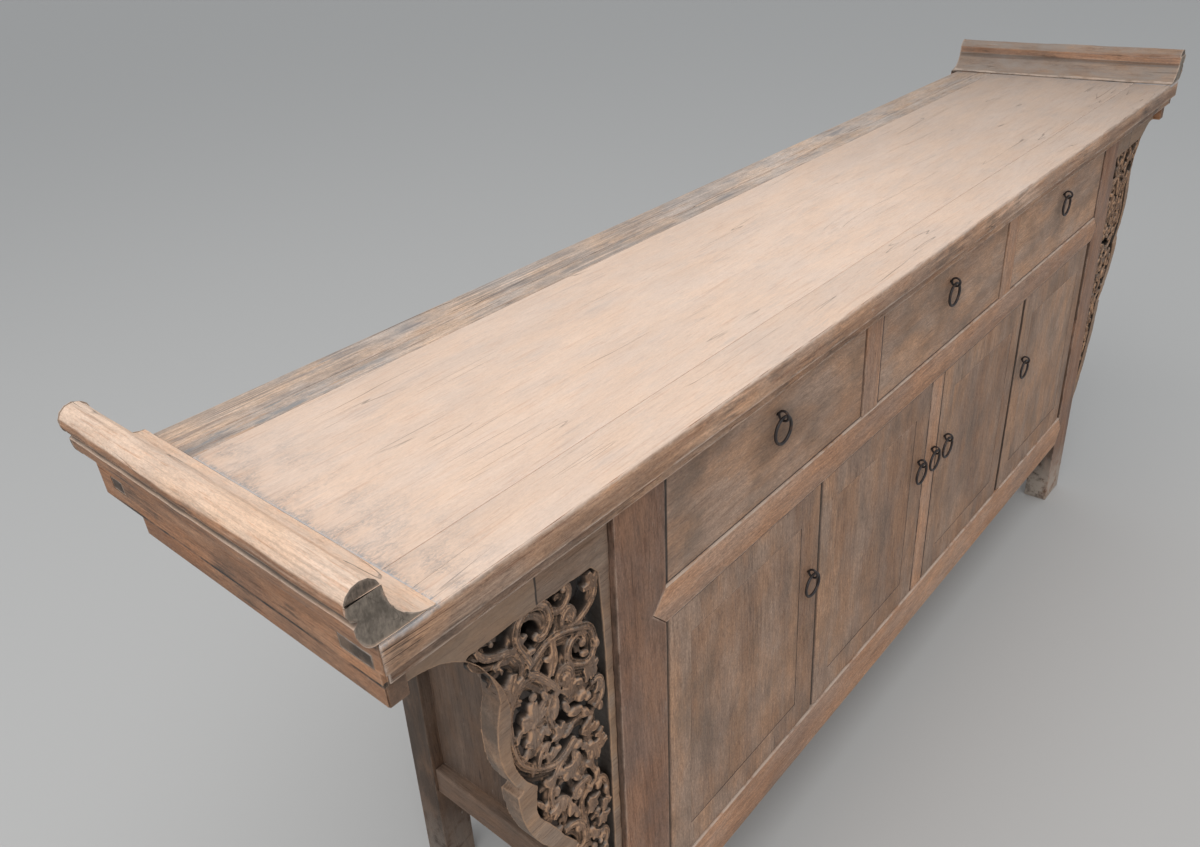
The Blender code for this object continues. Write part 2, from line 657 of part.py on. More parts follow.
def make_drawers():
    """Three drawers: a front and a tray each, on the drawer rail and the dust board."""
    inner = DIVIDER_PLACE - DIVIDER_WIDTH / 2 - DRAWER_RUN
    beside = DIVIDER_PLACE + DIVIDER_WIDTH / 2 + DRAWER_RUN
    low = DRAWER_LINE + GAP
    high = UNDER - DRAWER_RUN
    face = FACE + DRAWER_SETIN
    tray_front = face + DRAWER_FRONT_THICK + GAP
    tray_rear = BACK_FRONT - DRAWER_BOX_STOP
    tray_top = high - DRAWER_BOX_DROP
    outer_top = leg_in(high) - DRAWER_RUN
    outer = [(beside, low), (leg_in(low) - DRAWER_RUN, low), (outer_top, high), (beside, high)]
    layouts = {"left": (mirrored(outer, -1), -outer_top, -beside),
               "middle": ([(-inner, low), (inner, low), (inner, high), (-inner, high)], -inner, inner),
               "right": (outer, beside, outer_top)}
    for label, (outline, x_low, x_high) in layouts.items():
        pull_x = (x_low + x_high) / 2
        slide = pivot("slide_drawer_" + label, (pull_x, face, (low + high) / 2))
        front = soften(prism("drawer_front_" + label, outline, "Y", face, face + DRAWER_FRONT_THICK))
        tray = block("drawer_box_" + label, (x_low, tray_front, low), (x_high, tray_rear, tray_top))
        cut(tray, block("drawer_hollow_" + label, (x_low + DRAWER_WALL, tray_front - PAST, low + DRAWER_FLOOR),
                        (x_high - DRAWER_WALL, tray_rear - DRAWER_WALL, tray_top + PAST)))
        carry(slide, front, tray)
        dress(DOOR_WOOD, front)
        dress(INNER_WOOD, tray)
        make_pull("drawer_" + label, front, pull_x, face, UNDER - DRAWER_RING_DROP, slide)


def round_hinge_edge(obj, edge):
    """Rounds the two long arrises of a leaf's hinge edge, given as a function of height."""
    body = bmesh.new()
    body.from_mesh(obj.data)
    on_edge = [e for e in body.edges
               if all(abs(abs(v.co.x) - edge(v.co.z)) < GAP for v in e.verts)
               and abs(e.verts[0].co.z - e.verts[1].co.z) > DOOR_THICK]
    bmesh.ops.bevel(body, geom=on_edge, offset=DOOR_THICK / 2 - GAP, segments=4, profile=0.5,
                    affect="EDGES")
    body.to_mesh(obj.data)
    body.free()


def make_door(label, side, hinge_edge, free_edge, sockets):
    """A framed leaf on two pivot pins. Its edges are distances from the middle as functions of height."""
    low = FLOOR_LINE + DOOR_RUN
    high = DOOR_TOP_LINE - DOOR_RUN
    face = FACE + DOOR_SETIN
    middle = face + DOOR_THICK / 2
    toward_free = math.copysign(1, free_edge(low) - hinge_edge(low))

    def leaf(inset):
        bottom = low + inset
        top = high - inset
        step = toward_free * inset
        return [(hinge_edge(bottom) + step, bottom), (free_edge(bottom) - step, bottom),
                (free_edge(top) - step, top), (hinge_edge(top) + step, top)]

    def axis_at(z):
        return Vector((side * (hinge_edge(z) + toward_free * DOOR_THICK / 2), middle, z))

    frame = prism("door_frame_" + label, mirrored(leaf(0), side), "Y", face, face + DOOR_THICK)
    round_hinge_edge(frame, hinge_edge)
    soften(frame)
    cut(frame, prism("panel_opening_" + label, mirrored(leaf(DOOR_STILE), side), "Y", face - PAST,
                     face + DOOR_THICK + PAST))
    panel = soften(prism("door_panel_" + label, mirrored(leaf(DOOR_STILE + GAP), side), "Y", face,
                         face + DOOR_PANEL_THICK))
    hinge = pivot("hinge_" + label, axis_at((low + high) / 2))
    for end, start, reach in (("bottom", low, -PIN_REACH), ("top", high, PIN_REACH)):
        inside = start - reach
        join(frame, rod("pin_" + end + "_" + label, axis_at(inside), axis_at(start + reach), PIN_RADIUS))
        deeper = math.copysign(PIN_CLEAR, reach)
        cut(sockets[end], rod("socket_" + end + "_" + label, axis_at(inside), axis_at(start + reach + deeper),
                              PIN_RADIUS + PIN_CLEAR))
    carry(hinge, frame, panel)
    dress(DOOR_WOOD, frame, panel)
    pull_x = side * (free_edge(high) - toward_free * DOOR_RING_INSET)
    make_pull("door_" + label, frame, pull_x, face, DOOR_TOP_LINE - DOOR_RING_DROP, hinge)


def make_doors(sockets):
    """Four leaves: the outer pair pivots beside the legs, the inner pair beside the outer leaves."""
    for label, side in SIDES.items():
        make_door("outer_" + label, side, lambda z: leg_in(z) - DOOR_RUN,
                  lambda z: DOOR_SEAM + DOOR_RUN / 2, sockets)
        make_door("inner_" + label, side, lambda z: DOOR_SEAM - DOOR_RUN / 2,
                  lambda z: STILE_WIDTH / 2 + DOOR_RUN, sockets)


def make_centre_stile():
    """The loose stile between the inner leaves, which comes out towards the front."""
    face = FACE + DOOR_SETIN
    low = FLOOR_LINE + GAP
    high = DOOR_TOP_LINE - DOOR_RUN
    half = STILE_WIDTH / 2
    stile = soften(block("centre_stile", (-half, face, low), (half, face + DOOR_THICK, high)))
    slide = pivot("slide_centre_stile", (0, face, (low + high) / 2))
    carry(slide, stile)
    dress(DOOR_WOOD, stile)
    make_pull("stile", stile, 0, face, DOOR_TOP_LINE - DOOR_RING_DROP, slide)


make_top()
make_aprons()
make_spandrels()
make_legs()
make_sides_and_back()
make_inner_boards()
rails = {"top": make_front_rail("drawer_rail", DOOR_TOP_LINE, DRAWER_LINE),
         "bottom": make_front_rail("bottom_rail", FOOT_HEIGHT, FLOOR_LINE)}
make_drawers()
make_doors(rails)
make_centre_stile()
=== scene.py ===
"""Looks of the altar cabinet: worn old elm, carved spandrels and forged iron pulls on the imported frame."""

import json
import math

import bpy
from mathutils import Matrix, Vector
from mathutils.kdtree import KDTree

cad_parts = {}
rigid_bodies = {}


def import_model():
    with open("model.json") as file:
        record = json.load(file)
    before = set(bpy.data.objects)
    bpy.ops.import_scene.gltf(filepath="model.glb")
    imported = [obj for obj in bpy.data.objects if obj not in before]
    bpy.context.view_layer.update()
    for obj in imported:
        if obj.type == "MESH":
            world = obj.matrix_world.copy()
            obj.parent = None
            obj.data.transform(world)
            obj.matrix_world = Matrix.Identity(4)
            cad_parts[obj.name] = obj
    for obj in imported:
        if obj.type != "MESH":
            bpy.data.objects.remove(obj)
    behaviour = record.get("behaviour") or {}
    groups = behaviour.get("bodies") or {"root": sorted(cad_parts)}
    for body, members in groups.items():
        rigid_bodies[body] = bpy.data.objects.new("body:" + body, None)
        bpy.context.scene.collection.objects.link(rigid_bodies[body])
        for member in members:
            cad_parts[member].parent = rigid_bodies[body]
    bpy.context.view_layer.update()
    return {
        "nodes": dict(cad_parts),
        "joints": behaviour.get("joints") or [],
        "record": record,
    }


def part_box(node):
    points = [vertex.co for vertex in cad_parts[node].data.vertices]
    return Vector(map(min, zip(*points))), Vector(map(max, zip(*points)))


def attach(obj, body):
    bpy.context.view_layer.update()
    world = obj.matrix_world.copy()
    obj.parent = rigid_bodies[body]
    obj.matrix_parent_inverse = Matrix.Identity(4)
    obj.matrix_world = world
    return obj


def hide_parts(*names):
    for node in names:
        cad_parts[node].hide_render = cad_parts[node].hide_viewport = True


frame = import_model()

NODES = frame["nodes"]
BODY_OF = {node: body for body, nodes in frame["record"]["behaviour"]["bodies"].items() for node in nodes}

MM = 0.001

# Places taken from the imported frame
CARVING_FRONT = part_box("spandrel_right")[0][1]
TOP_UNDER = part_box("top_front_rail")[0][2]
TOP_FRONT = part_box("top_front_rail")[0][1]
END_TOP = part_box("top_end_left")[1][2]
LEG_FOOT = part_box("leg_front_right")[1][0]
FLANGE_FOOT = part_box("flange_right")[0][0]
SPLAY_AXIS = next(joint["axis"] for joint in frame["joints"] if joint["name"] == "hinge_door_outer_right")
SPLAY = -SPLAY_AXIS[0] / SPLAY_AXIS[2]
LEG_AT_TOP = LEG_FOOT - SPLAY * TOP_UNDER

# Joint between the two boards of each strip over the carving
STRIP_SEAM = 0.8435

# Vertex attribute that marks the walls of the pierced field
FIELD_WALL = "field_wall"

# Neck under each flange's roll, and top of the cap on its front end
NECK = 0.8895
CAP_TOP = 0.907


# Shader building

class Signal:
    """A varying value in a shader. Arithmetic with numbers and other signals adds nodes to its tree."""

    def __init__(self, tree, socket):
        self.tree = tree
        self.socket = socket

    def math(self, operation, *others):
        return put(self.tree, "Math", self, *others, operation=operation)

    def __add__(self, other):
        return self.math("ADD", other)

    def __sub__(self, other):
        return self.math("SUBTRACT", other)

    def __rsub__(self, other):
        return put(self.tree, "Math", other, self, operation="SUBTRACT")

    def __mul__(self, other):
        return self.math("MULTIPLY", other)

    def __abs__(self):
        return self.math("ABSOLUTE")

    def ramp(self, low, high):
        """A soft step from 0 at low to 1 at high."""
        return put(self.tree, "MapRange", self, low, high, 0.0, 1.0, interpolation_type="SMOOTHSTEP")

    def run(self, low, high, first, last):
        """A straight run from the first value at low to the last one at high."""
        return put(self.tree, "MapRange", self, low, high, first, last)

    def vector(self, operation, *others, out=0):
        return put(self.tree, "VectorMath", self, *others, operation=operation, out=out)

    def part(self, axis):
        """One of the three parts of a place or a direction."""
        return put(self.tree, "SeparateXYZ", self, out=axis)

    def shaded(self, shade):
        """A colour, lighter or darker by a shade."""
        return self.vector("SCALE", None, None, shade)

    def cloud(self, scales, detail=2.0, rough=0.5, out=0):
        """Noise between 0 and 1 at a place. The last scale also serves the directions that have none."""
        place = self.vector("MULTIPLY", (*scales, scales[-1], scales[-1])[:3])
        return put(self.tree, "TexNoise", place, None, 1.0, detail, rough, out=out)


def feed(socket, value):
    """Gives a socket a signal or a constant. Constant colours are opaque."""
    if isinstance(value, Signal):
        value.tree.links.new(value.socket, socket)
    elif value is not None:
        socket.default_value = (*value, 1.0) if socket.type == "RGBA" else value


def put(tree, kind, *values, out=0, **settings):
    """Adds a shader node, feeds its inputs in order and returns one of its outputs."""
    node = tree.nodes.new("ShaderNode" + kind)
    for name, value in settings.items():
        setattr(node, name, value)
    for socket, value in zip(node.inputs, values):
        feed(socket, value)
    return Signal(tree, node.outputs[out])


# A Mix node's inputs between its factor and its colours, which stay unused, and its colour output
MIX_UNUSED = (None,) * 5
MIX_COLOUR = 2


def tint(mask, first, second, blend_type="MIX"):
    """Mixes two colours by a mask."""
    return put(mask.tree, "Mix", mask, *MIX_UNUSED, first, second, out=MIX_COLOUR, data_type="RGBA",
               blend_type=blend_type)


def highest(first, *others):
    for other in others:
        first = first.math("MAXIMUM", other)
    return first


def shader_group(name, inputs, outputs):
    """A new node group with sockets of named kinds. Returns the group, its given signals and its results."""
    tree = bpy.data.node_groups.new(name, "ShaderNodeTree")
    for way, kinds in (("INPUT", inputs), ("OUTPUT", outputs)):
        for label, kind in kinds.items():
            tree.interface.new_socket(label, in_out=way, socket_type="NodeSocket" + kind)
    given = {socket.name: Signal(tree, socket) for socket in tree.nodes.new("NodeGroupInput").outputs}
    return tree, given, tree.nodes.new("NodeGroupOutput").inputs


def group_node(tree, group, **values):
    """Adds a node group, feeds its inputs by name and returns its outputs by name."""
    node = tree.nodes.new("ShaderNodeGroup")
    node.node_tree = group
    for name, value in values.items():
        feed(node.inputs[name], value)
    return {socket.name: Signal(tree, socket) for socket in node.outputs}


def new_material(name):
    material = bpy.data.materials.new(name)
    material.use_nodes = True
    return material, material.node_tree, material.node_tree.nodes["Principled BSDF"]


def coat(shader, colour, rough, height, strength, distance):
    """Gives a shader its colour, its roughness and its bumps."""
    bump = colour.tree.nodes.new("ShaderNodeBump")
    feed(bump.inputs["Strength"], strength)
    feed(bump.inputs["Distance"], distance)
    feed(bump.inputs["Height"], height)
    feed(shader.inputs["Base Color"], colour)
    feed(shader.inputs["Roughness"], rough)
    feed(shader.inputs["Normal"], Signal(colour.tree, bump.outputs["Normal"]))


# Casts of the wood's hue, then tones of its cracks and scuffs
WARM_CAST = (1.075, 0.985, 0.87)
COOL_CAST = (0.935, 1.0, 1.06)
CRACK = (0.022, 0.016, 0.012)
SCUFF = (0.62, 0.53, 0.45)

# Dirt of the top, its edges and the flanges, and painted shade in their gaps and creases. Pairs are the palest
# and the darkest tone.
# Near-black that serves as real dirt in joints and as painted shade in gaps, in the neck under the roll and
# under overhangs
DIRT_AND_SHADE = (0.035, 0.029, 0.026)
TENON_ENDS = (0.19, 0.128, 0.088), (0.07, 0.050, 0.037)
TOP_SPOTS = (0.27, 0.25, 0.245)
JOINT_DIRT = (0.33, 0.335, 0.345)
JOINT_DUST = (0.52, 0.53, 0.55)
REAR_DIRT = (0.17, 0.152, 0.145)
OLD_GREY = (0.25, 0.25, 0.25)
OLD_ORANGE = (0.52, 0.32, 0.20)
APRON_END = (0.09, 0.065, 0.05)
# Painted shade of the right flange at the far end
FAR_FLANGE_SHADE = (0.29, 0.24, 0.205)
ROLL_LINES = (0.23, 0.165, 0.125)
FLANGE_ENDS = (0.30, 0.245, 0.195), (0.13, 0.106, 0.083)
ROLL_ENDS = (0.25, 0.19, 0.145), (0.10, 0.077, 0.06)

# Dirt and dust of the frame, drawers and doors, with painted shade on legs, gaps and side panels and painted
# highlights on the rails
LEG_DIRT_AND_SHADE = (0.05, 0.036, 0.027)
FOOT_DUST = (0.50, 0.42, 0.35)
HAND_MARKS = (0.11, 0.085, 0.066)
RAIL_DUST_AND_HIGHLIGHT = (0.66, 0.52, 0.42)
SIDE_SHADE = (0.014, 0.011, 0.0095)

# Dirt, wear and painted shade of the carving and its border
CARVED_ARRIS = (0.60, 0.35, 0.205)
CARVED_FLANK_SHADE = (0.06, 0.044, 0.034)
CARVING_DUST = (0.40, 0.34, 0.29)
CARVING_DEPTH_SHADE = (0.02, 0.015, 0.012)
BORDER_WALL_SHADE = (0.016, 0.012, 0.010)
BORDER_FLANK_DIRT_AND_SHADE = (0.085, 0.066, 0.052)
BORDER_ARRIS = (0.50, 0.295, 0.17)
FIRST_BOARD = (0.48, 0.335, 0.225)

# Iron
BLACK_IRON = (0.055, 0.047, 0.046)
RUST = (0.10, 0.060, 0.043)


def make_grain_group():
    """Old elm: mottling, ring lines, fibres, grey smudges and cracks. The grain runs along X, in metres."""
    tree, given, result = shader_group(
        "old_elm",
        dict(Place="Vector", Pale="Color", Deep="Color", Grey="Color", Figure="Float", Fibres="Float",
             Smudges="Float", Marks="Float", Cracks="Float", Streaky="Float", Hairs="Float", Hues="Float"),
        dict(Color="Color", Roughness="Float", Height="Float", Mottle="Float"))
    place = given["Place"]
    drift = place.cloud((1.3, 5.0), out="Color")
    bend = drift.vector("SUBTRACT", (0.5, 0.5, 0.5)).vector("MULTIPLY", (0.0, 0.03, 0.03))
    grain = place.vector("ADD", bend)
    mottle = grain.cloud((6.0, 24.0), 5.0, 0.62)
    broad = place.cloud((1.5, 4.5), 3.0)
    streaks = grain.cloud((4.0, 130.0), 4.0, 0.6)
    fibres = grain.cloud((34.0, 760.0), 4.0, 0.62)
    pores = grain.cloud((13.0, 330.0), 3.0, 0.6)
    hairs = grain.cloud((38.0, 330.0), 7.0, 0.85)
    grit = grain.cloud((240.0, 620.0), 3.0, 0.75)
    smoke = place.cloud((12.0, 17.0), 5.0, 0.6)
    hue = place.cloud((8.0, 21.0), 4.0, 0.62)
    patches = place.cloud((13.0, 30.0), 6.0, 0.66)
    trunk = put(tree, "Mapping", grain, (0.0, 0.02, 0.055), (0.0, 0.035, 0.012))
    rings = put(tree, "TexWave", trunk, 44.0, 2.4, 3.0, 1.4, 0.6, wave_type="RINGS", rings_direction="X",
                wave_profile="SAW", out="Fac")
    split = 1.0 - abs(grain.cloud((2.2, 46.0), 2.0, 0.45) - 0.5).ramp(0.001, 0.006)
    split = split * place.cloud((5.0, 18.0)).ramp(0.54, 0.64) * given["Cracks"]

    tone = mottle * 0.5 + broad * 0.57 + (streaks - 0.5) * given["Streaky"]
    colour = tint(tone.ramp(0.38, 0.70), given["Pale"], given["Deep"])
    cast = tint(hue.ramp(0.34, 0.66), WARM_CAST, COOL_CAST)
    colour = tint(given["Hues"], colour, cast, "MULTIPLY")
    lines = rings.ramp(0.55, 1.0) * mottle.ramp(0.30, 0.62)
    colour = tint(lines * given["Figure"], colour, given["Deep"])
    dashes = highest(fibres.ramp(0.53, 0.72), pores.ramp(0.57, 0.69))
    colour = tint(dashes * given["Fibres"], colour, given["Deep"], "MULTIPLY")
    fine = grit * 0.8 + hairs
    colour = colour.shaded((fine - 0.9) * given["Hairs"] + 1.0)
    soiled = patches.ramp(0.49, 0.66) * pores.ramp(0.36, 0.58) * given["Marks"]
    smoked = smoke.ramp(0.42, 0.70) * (hairs * 0.9 + 0.3) * given["Smudges"]
    colour = tint(highest(soiled, smoked), colour, given["Grey"])
    colour = tint(split * 0.85, colour, CRACK)
    scuffs = grain.cloud((42.0, 190.0), 5.0, 0.7).ramp(0.64, 0.74)
    feed(result["Color"], tint(scuffs * 0.4, colour, SCUFF))
    feed(result["Roughness"], streaks * 0.22 + 0.52)
    feed(result["Height"], fine * 0.5 - streaks * 0.45 - split * 1.6)
    feed(result["Mottle"], patches)
    return tree


def make_arris_group():
    """Wear on the arrises of a piece: a mask that is high where the surface turns a corner."""
    tree, given, result = shader_group("arris_wear", dict(Place="Vector", Width="Float"), dict(Wear="Float"))
    corner = put(tree, "Bevel", given["Width"], samples=4)
    surface = put(tree, "NewGeometry", out="Normal")
    turn = 1.0 - corner.vector("DOT_PRODUCT", surface, out="Value")
    patchy = given["Place"].cloud((38.0,), 4.0, 0.6).ramp(0.32, 0.60)
    feed(result["Wear"], turn.ramp(0.015, 0.16) * patchy)
    return tree


GRAIN = make_grain_group()
ARRIS = make_arris_group()

# Turns that bring each direction of the cabinet onto the X axis of the grain
TURNS = {"X": (0, 0, 0), "Y": (0, 0, -math.pi / 2), "Z": (0, math.pi / 2, 0)}

# Inputs of the grain for each wood, after those that most woods share
SHARED = dict(Streaky=0.3, Hues=1.0)
WOODS = {
    "top": dict(Pale=(0.81, 0.61, 0.482), Deep=(0.735, 0.545, 0.425), Grey=(0.42, 0.39, 0.38),
                Figure=0.45, Fibres=0.34, Smudges=0.10, Marks=0.2, Cracks=0.5, Streaky=0.06, Hairs=0.4,
                Hues=0.3),
    "lip": dict(Pale=(0.74, 0.47, 0.32), Deep=(0.44, 0.267, 0.178), Grey=(0.12, 0.09, 0.07),
                Figure=0.4, Fibres=0.5, Smudges=0.3, Marks=0.65, Cracks=1.0, Streaky=0.7, Hairs=1.6),
    "edge": dict(Pale=(0.52, 0.27, 0.15), Deep=(0.295, 0.15, 0.086), Grey=(0.075, 0.055, 0.042),
                 Figure=0.3, Fibres=0.5, Smudges=0.4, Marks=0.75, Cracks=0.8, Hairs=1.5),
    "rear": dict(Pale=(0.69, 0.53, 0.425), Deep=(0.48, 0.36, 0.285), Grey=(0.25, 0.24, 0.24),
                 Figure=0.4, Fibres=0.7, Smudges=0.3, Marks=0.7, Cracks=0.9, Hairs=1.4),
    "roll": dict(Pale=(0.83, 0.605, 0.455), Deep=(0.73, 0.505, 0.365), Grey=(0.26, 0.235, 0.22),
                 Figure=0.35, Fibres=0.5, Smudges=0.12, Marks=0.2, Cracks=1.0, Hairs=0.9, Hues=0.5),
    "frame": dict(Pale=(0.39, 0.225, 0.152), Deep=(0.235, 0.132, 0.09), Grey=(0.085, 0.066, 0.052),
                  Figure=0.25, Fibres=0.45, Smudges=0.34, Marks=0.3, Cracks=0.5, Hairs=1.6),
    "rail": dict(Pale=(0.56, 0.33, 0.217), Deep=(0.39, 0.226, 0.15), Grey=(0.12, 0.092, 0.07),
                 Figure=0.2, Fibres=0.3, Smudges=0.22, Marks=0.2, Cracks=0.4, Hairs=2.0),
    "drawer": dict(Pale=(0.55, 0.35, 0.243), Deep=(0.365, 0.222, 0.149), Grey=(0.10, 0.082, 0.064),
                   Figure=0.2, Fibres=0.25, Smudges=0.55, Marks=0.2, Cracks=0.35, Streaky=0.10, Hairs=1.6),
    "door": dict(Pale=(0.468, 0.295, 0.203), Deep=(0.305, 0.185, 0.126), Grey=(0.095, 0.078, 0.061),
                 Figure=0.2, Fibres=0.25, Smudges=0.44, Marks=0.16, Cracks=0.35, Streaky=0.10, Hairs=1.9),
    "side": dict(Pale=(0.21, 0.132, 0.090), Deep=(0.128, 0.08, 0.056), Grey=(0.055, 0.045, 0.037),
                 Figure=0.3, Fibres=0.45, Smudges=0.45, Marks=0.3, Cracks=0.4, Hairs=1.0),
    "carved": dict(Pale=(0.42, 0.28, 0.193), Deep=(0.28, 0.178, 0.122), Grey=(0.10, 0.083, 0.068),
                   Figure=0.15, Fibres=0.5, Smudges=0.45, Marks=0.25, Cracks=0.5, Hairs=0.9),
    "vine": dict(Pale=(0.34, 0.215, 0.145), Deep=(0.20, 0.124, 0.084), Grey=(0.07, 0.056, 0.046),
                 Figure=0.1, Fibres=0.5, Smudges=0.4, Marks=0.3, Cracks=0.3, Hairs=1.2),
    "inner": dict(Pale=(0.46, 0.33, 0.24), Deep=(0.33, 0.23, 0.163), Grey=(0.16, 0.135, 0.115),
                  Figure=0.5, Fibres=0.5, Smudges=0.22, Marks=0.25, Cracks=0.5, Streaky=0.5, Hairs=1.3,
                  Hues=0.3),
}

# Bare wood on the arrises of each wood that has it, and how much of it shows
BARE = {
    "top": ((0.84, 0.69, 0.58), 0.6), "edge": ((0.53, 0.345, 0.23), 0.5), "rear": ((0.70, 0.55, 0.45), 0.6),
    "roll": ((0.78, 0.61, 0.49), 0.5), "frame": ((0.60, 0.43, 0.33), 0.75), "rail": ((0.66, 0.49, 0.38), 0.8),
    "drawer": ((0.66, 0.48, 0.37), 0.25), "door": ((0.62, 0.46, 0.36), 0.25),
    "side": ((0.36, 0.25, 0.18), 0.5), "carved": ((0.60, 0.36, 0.22), 0.75),
    "inner": ((0.5, 0.37, 0.26), 0.3),
}
ARRIS_WIDTH = 4 * MM
CARVED_ARRIS_WIDTH = 3 * MM

# Steps of the place in the noise from one seed to the next, so that no two boards look the same
SEED_STEPS = (1.37, 0.61, 0.83)


def grain_of(place, kind):
    """The outputs of the grain for one wood at a place."""
    return group_node(place.tree, GRAIN, Place=place, **{**SHARED, **WOODS[kind]})


def make_wood(name, kind, along, seed, extra=None, box=None):
    """Material of one board: a wood with the grain along one direction, and what soils it and paints shade on
    it in its box.
    """
    material, tree, shader = new_material(name)
    here = put(tree, "TexCoord", out="Object")
    place = put(tree, "Mapping", here, [seed * step for step in SEED_STEPS], TURNS[along])
    wood = grain_of(place, kind)
    colour = wood["Color"]
    if extra:
        colour = extra(here, place, wood, colour, box)
    if kind in BARE:
        bare, shown = BARE[kind]
        width = CARVED_ARRIS_WIDTH if kind == "carved" else ARRIS_WIDTH
        worn = group_node(tree, ARRIS, Place=here, Width=width)["Wear"]
        colour = tint(worn * shown, colour, bare)
    coat(shader, colour, wood["Roughness"], wood["Height"], 0.7, 1.4 * MM)
    feed(shader.inputs["Specular IOR Level"], 0.3)
    return material


def make_iron():
    material, tree, shader = new_material("forged_iron")
    here = put(tree, "TexCoord", out="Object")
    scale = here.cloud((420.0,), 4.0, 0.65)
    rusty = here.cloud((160.0,), 4.0, 0.6).ramp(0.52, 0.70)
    coat(shader, tint(rusty, BLACK_IRON, RUST), scale * 0.3 + 0.32, scale, 0.4, 0.4 * MM)
    feed(shader.inputs["Metallic"], 0.6)
    return material


# Masks

def facing(here, axis, low, high, way=0):
    """A mask of the faces that look along one direction of the cabinet: either way, or only up or down it."""
    turned = put(here.tree, "TexCoord", out="Normal").part(axis)
    turned = turned * way if way else abs(turned)
    return turned.ramp(low, high)


def near(here, axis, line, width):
    """A mask of what lies within a width of a line across one direction."""
    return abs(here.part(axis) - line).ramp(width, width * 0.5)


def worn_arris(here, scale):
    """A patchy mask of the rounded corners between the front and the sides of carved work."""
    corner = facing(here, "Y", 0.45, 0.70, -1) * facing(here, "Y", 0.97, 0.86, -1)
    return corner * here.cloud((scale,), 3.0, 0.6).ramp(0.36, 0.60)


def hollows(here, reach):
    """A mask of a piece's hollows, by how much of its own surface stands round them within a reach."""
    open_sky = put(here.tree, "AmbientOcclusion", None, reach, samples=6, only_local=True, out="AO")
    return open_sky.ramp(0.90, 0.50)


# What soils each kind of board and the shade painted on it: here is the place in the cabinet, place the one in
# the wood

def show_tenon(here, wood, colour):
    """Dark end grain on the ends of the through tenons."""
    return tint(facing(here, "X", 0.7, 0.9), colour, tint(wood["Mottle"].ramp(0.38, 0.60), *TENON_ENDS))


def dim(here, colour, first, last, least):
    """Darkens a board between two places along its length."""
    return colour.shaded(here.part("X").run(first, last, 1.0, least))


def colour_lip(here, place, colour, box):
    """The front edge of the top: brown, darker towards its ends, with the pale top worn over its arris."""
    lip = dim(here, grain_of(place, "lip")["Color"], 0.2, 0.85, 0.6)
    lip = dim(here, lip, -0.5, -0.95, 0.66)
    drop = box[1][2] - here.part("Z")
    lip = lip.shaded(drop.run(5 * MM, 30 * MM, 1.14, 0.86))
    worn = drop - here.cloud((90.0,), 4.0, 0.6) * (7 * MM)
    return tint(worn.ramp(3 * MM, -4 * MM), lip, colour)


def soil_and_shade_top(here, place, wood, colour, box):
    """The top's boards: painted shade towards the right end, grime along the flanges, a brown front edge and
    the dark ends of the tenons.
    """
    # Painted shade: the top darkens towards its right end, as the light falls off
    colour = dim(here, colour, 0.05, 0.95, 0.58)
    across = abs(here.part("X"))
    hatch = here.cloud((190.0, 420.0, 60.0), 5.0, 0.85)
    blots = here.cloud((24.0, 30.0, 20.0), 5.0, 0.65)
    spots = blots.ramp(0.40, 0.64) * hatch.ramp(0.36, 0.66)
    colour = tint(across.ramp(0.84, 0.962) * spots * 0.7, colour, TOP_SPOTS)
    joint = across.ramp(FLANGE_FOOT - 9 * MM, FLANGE_FOOT) * hatch.ramp(0.46, 0.54)
    colour = tint(joint * 0.85, colour, JOINT_DIRT)
    dust = across.ramp(FLANGE_FOOT - 2.6 * MM, FLANGE_FOOT - MM) * blots.ramp(0.30, 0.50)
    colour = tint(dust * 0.75, colour, JOINT_DUST)
    edge = highest(facing(here, "Y", 0.45, 0.85, -1), facing(here, "Z", 0.3, 0.6, -1))
    edge = edge * here.part("Y").ramp(TOP_FRONT + 20 * MM, TOP_FRONT + 14 * MM)
    colour = tint(edge, colour, colour_lip(here, place, colour, box))
    colour = tint(facing(here, "Z", 0.7, 0.95, -1), colour, grain_of(place, "inner")["Color"])
    return show_tenon(here, wood, colour)


def soil_and_shade_rear(here, place, wood, colour, box):
    """The rear boards are streaky, dark towards the left, and painted darker towards the right end as shade.
    """
    left = here.part("X").run(0.50, -0.75, 0.10, 0.66)
    lines = here.cloud((5.0, 260.0, 60.0), 5.0, 0.72).ramp(0.42, 0.53)
    blocks = here.cloud((9.0, 20.0, 3.0), 3.0, 0.55).ramp(0.36, 0.58)
    colour = tint(left * blocks * lines, colour, REAR_DIRT)
    # Painted shade towards the right end, as on the top
    return show_tenon(here, wood, dim(here, colour, 0.2, 0.9, 0.75))


def soil_strip(here, place, wood, colour, box):
    """The narrow strip is as streaky as the rear board, with old grey and orange blocks at the left end."""
    colour = soil_and_shade_rear(here, place, wood, colour, box)
    paint = here.cloud((16.0, 90.0, 20.0), 5.0, 0.7)
    first = here.part("X").ramp(-0.62, -0.84)
    colour = tint(first * paint.ramp(0.53, 0.62) * 0.8, colour, OLD_GREY)
    return tint(first * paint.ramp(0.44, 0.36) * 0.6, colour, OLD_ORANGE)


def soil_and_shade_end(here, place, wood, colour, box):
    """Dirt and painted shade along the upper edge of the end members and aprons, under the flange and the top,
    and dark end grain on the aprons.
    """
    height = here.part("Z")
    under_flange = height.ramp(END_TOP - 9 * MM, END_TOP - 2 * MM)
    under_top = height.math("COMPARE", TOP_UNDER, 4 * MM)
    # Painted shade, patchy like dirt, under the flange and under the top
    colour = tint(highest(under_flange, under_top) * wood["Mottle"].ramp(0.36, 0.56), colour, DIRT_AND_SHADE)
    ends = facing(here, "Y", 0.6, 0.9) * height.ramp(TOP_UNDER, TOP_UNDER - 2 * MM)
    return tint(ends * 0.65, colour, APRON_END)


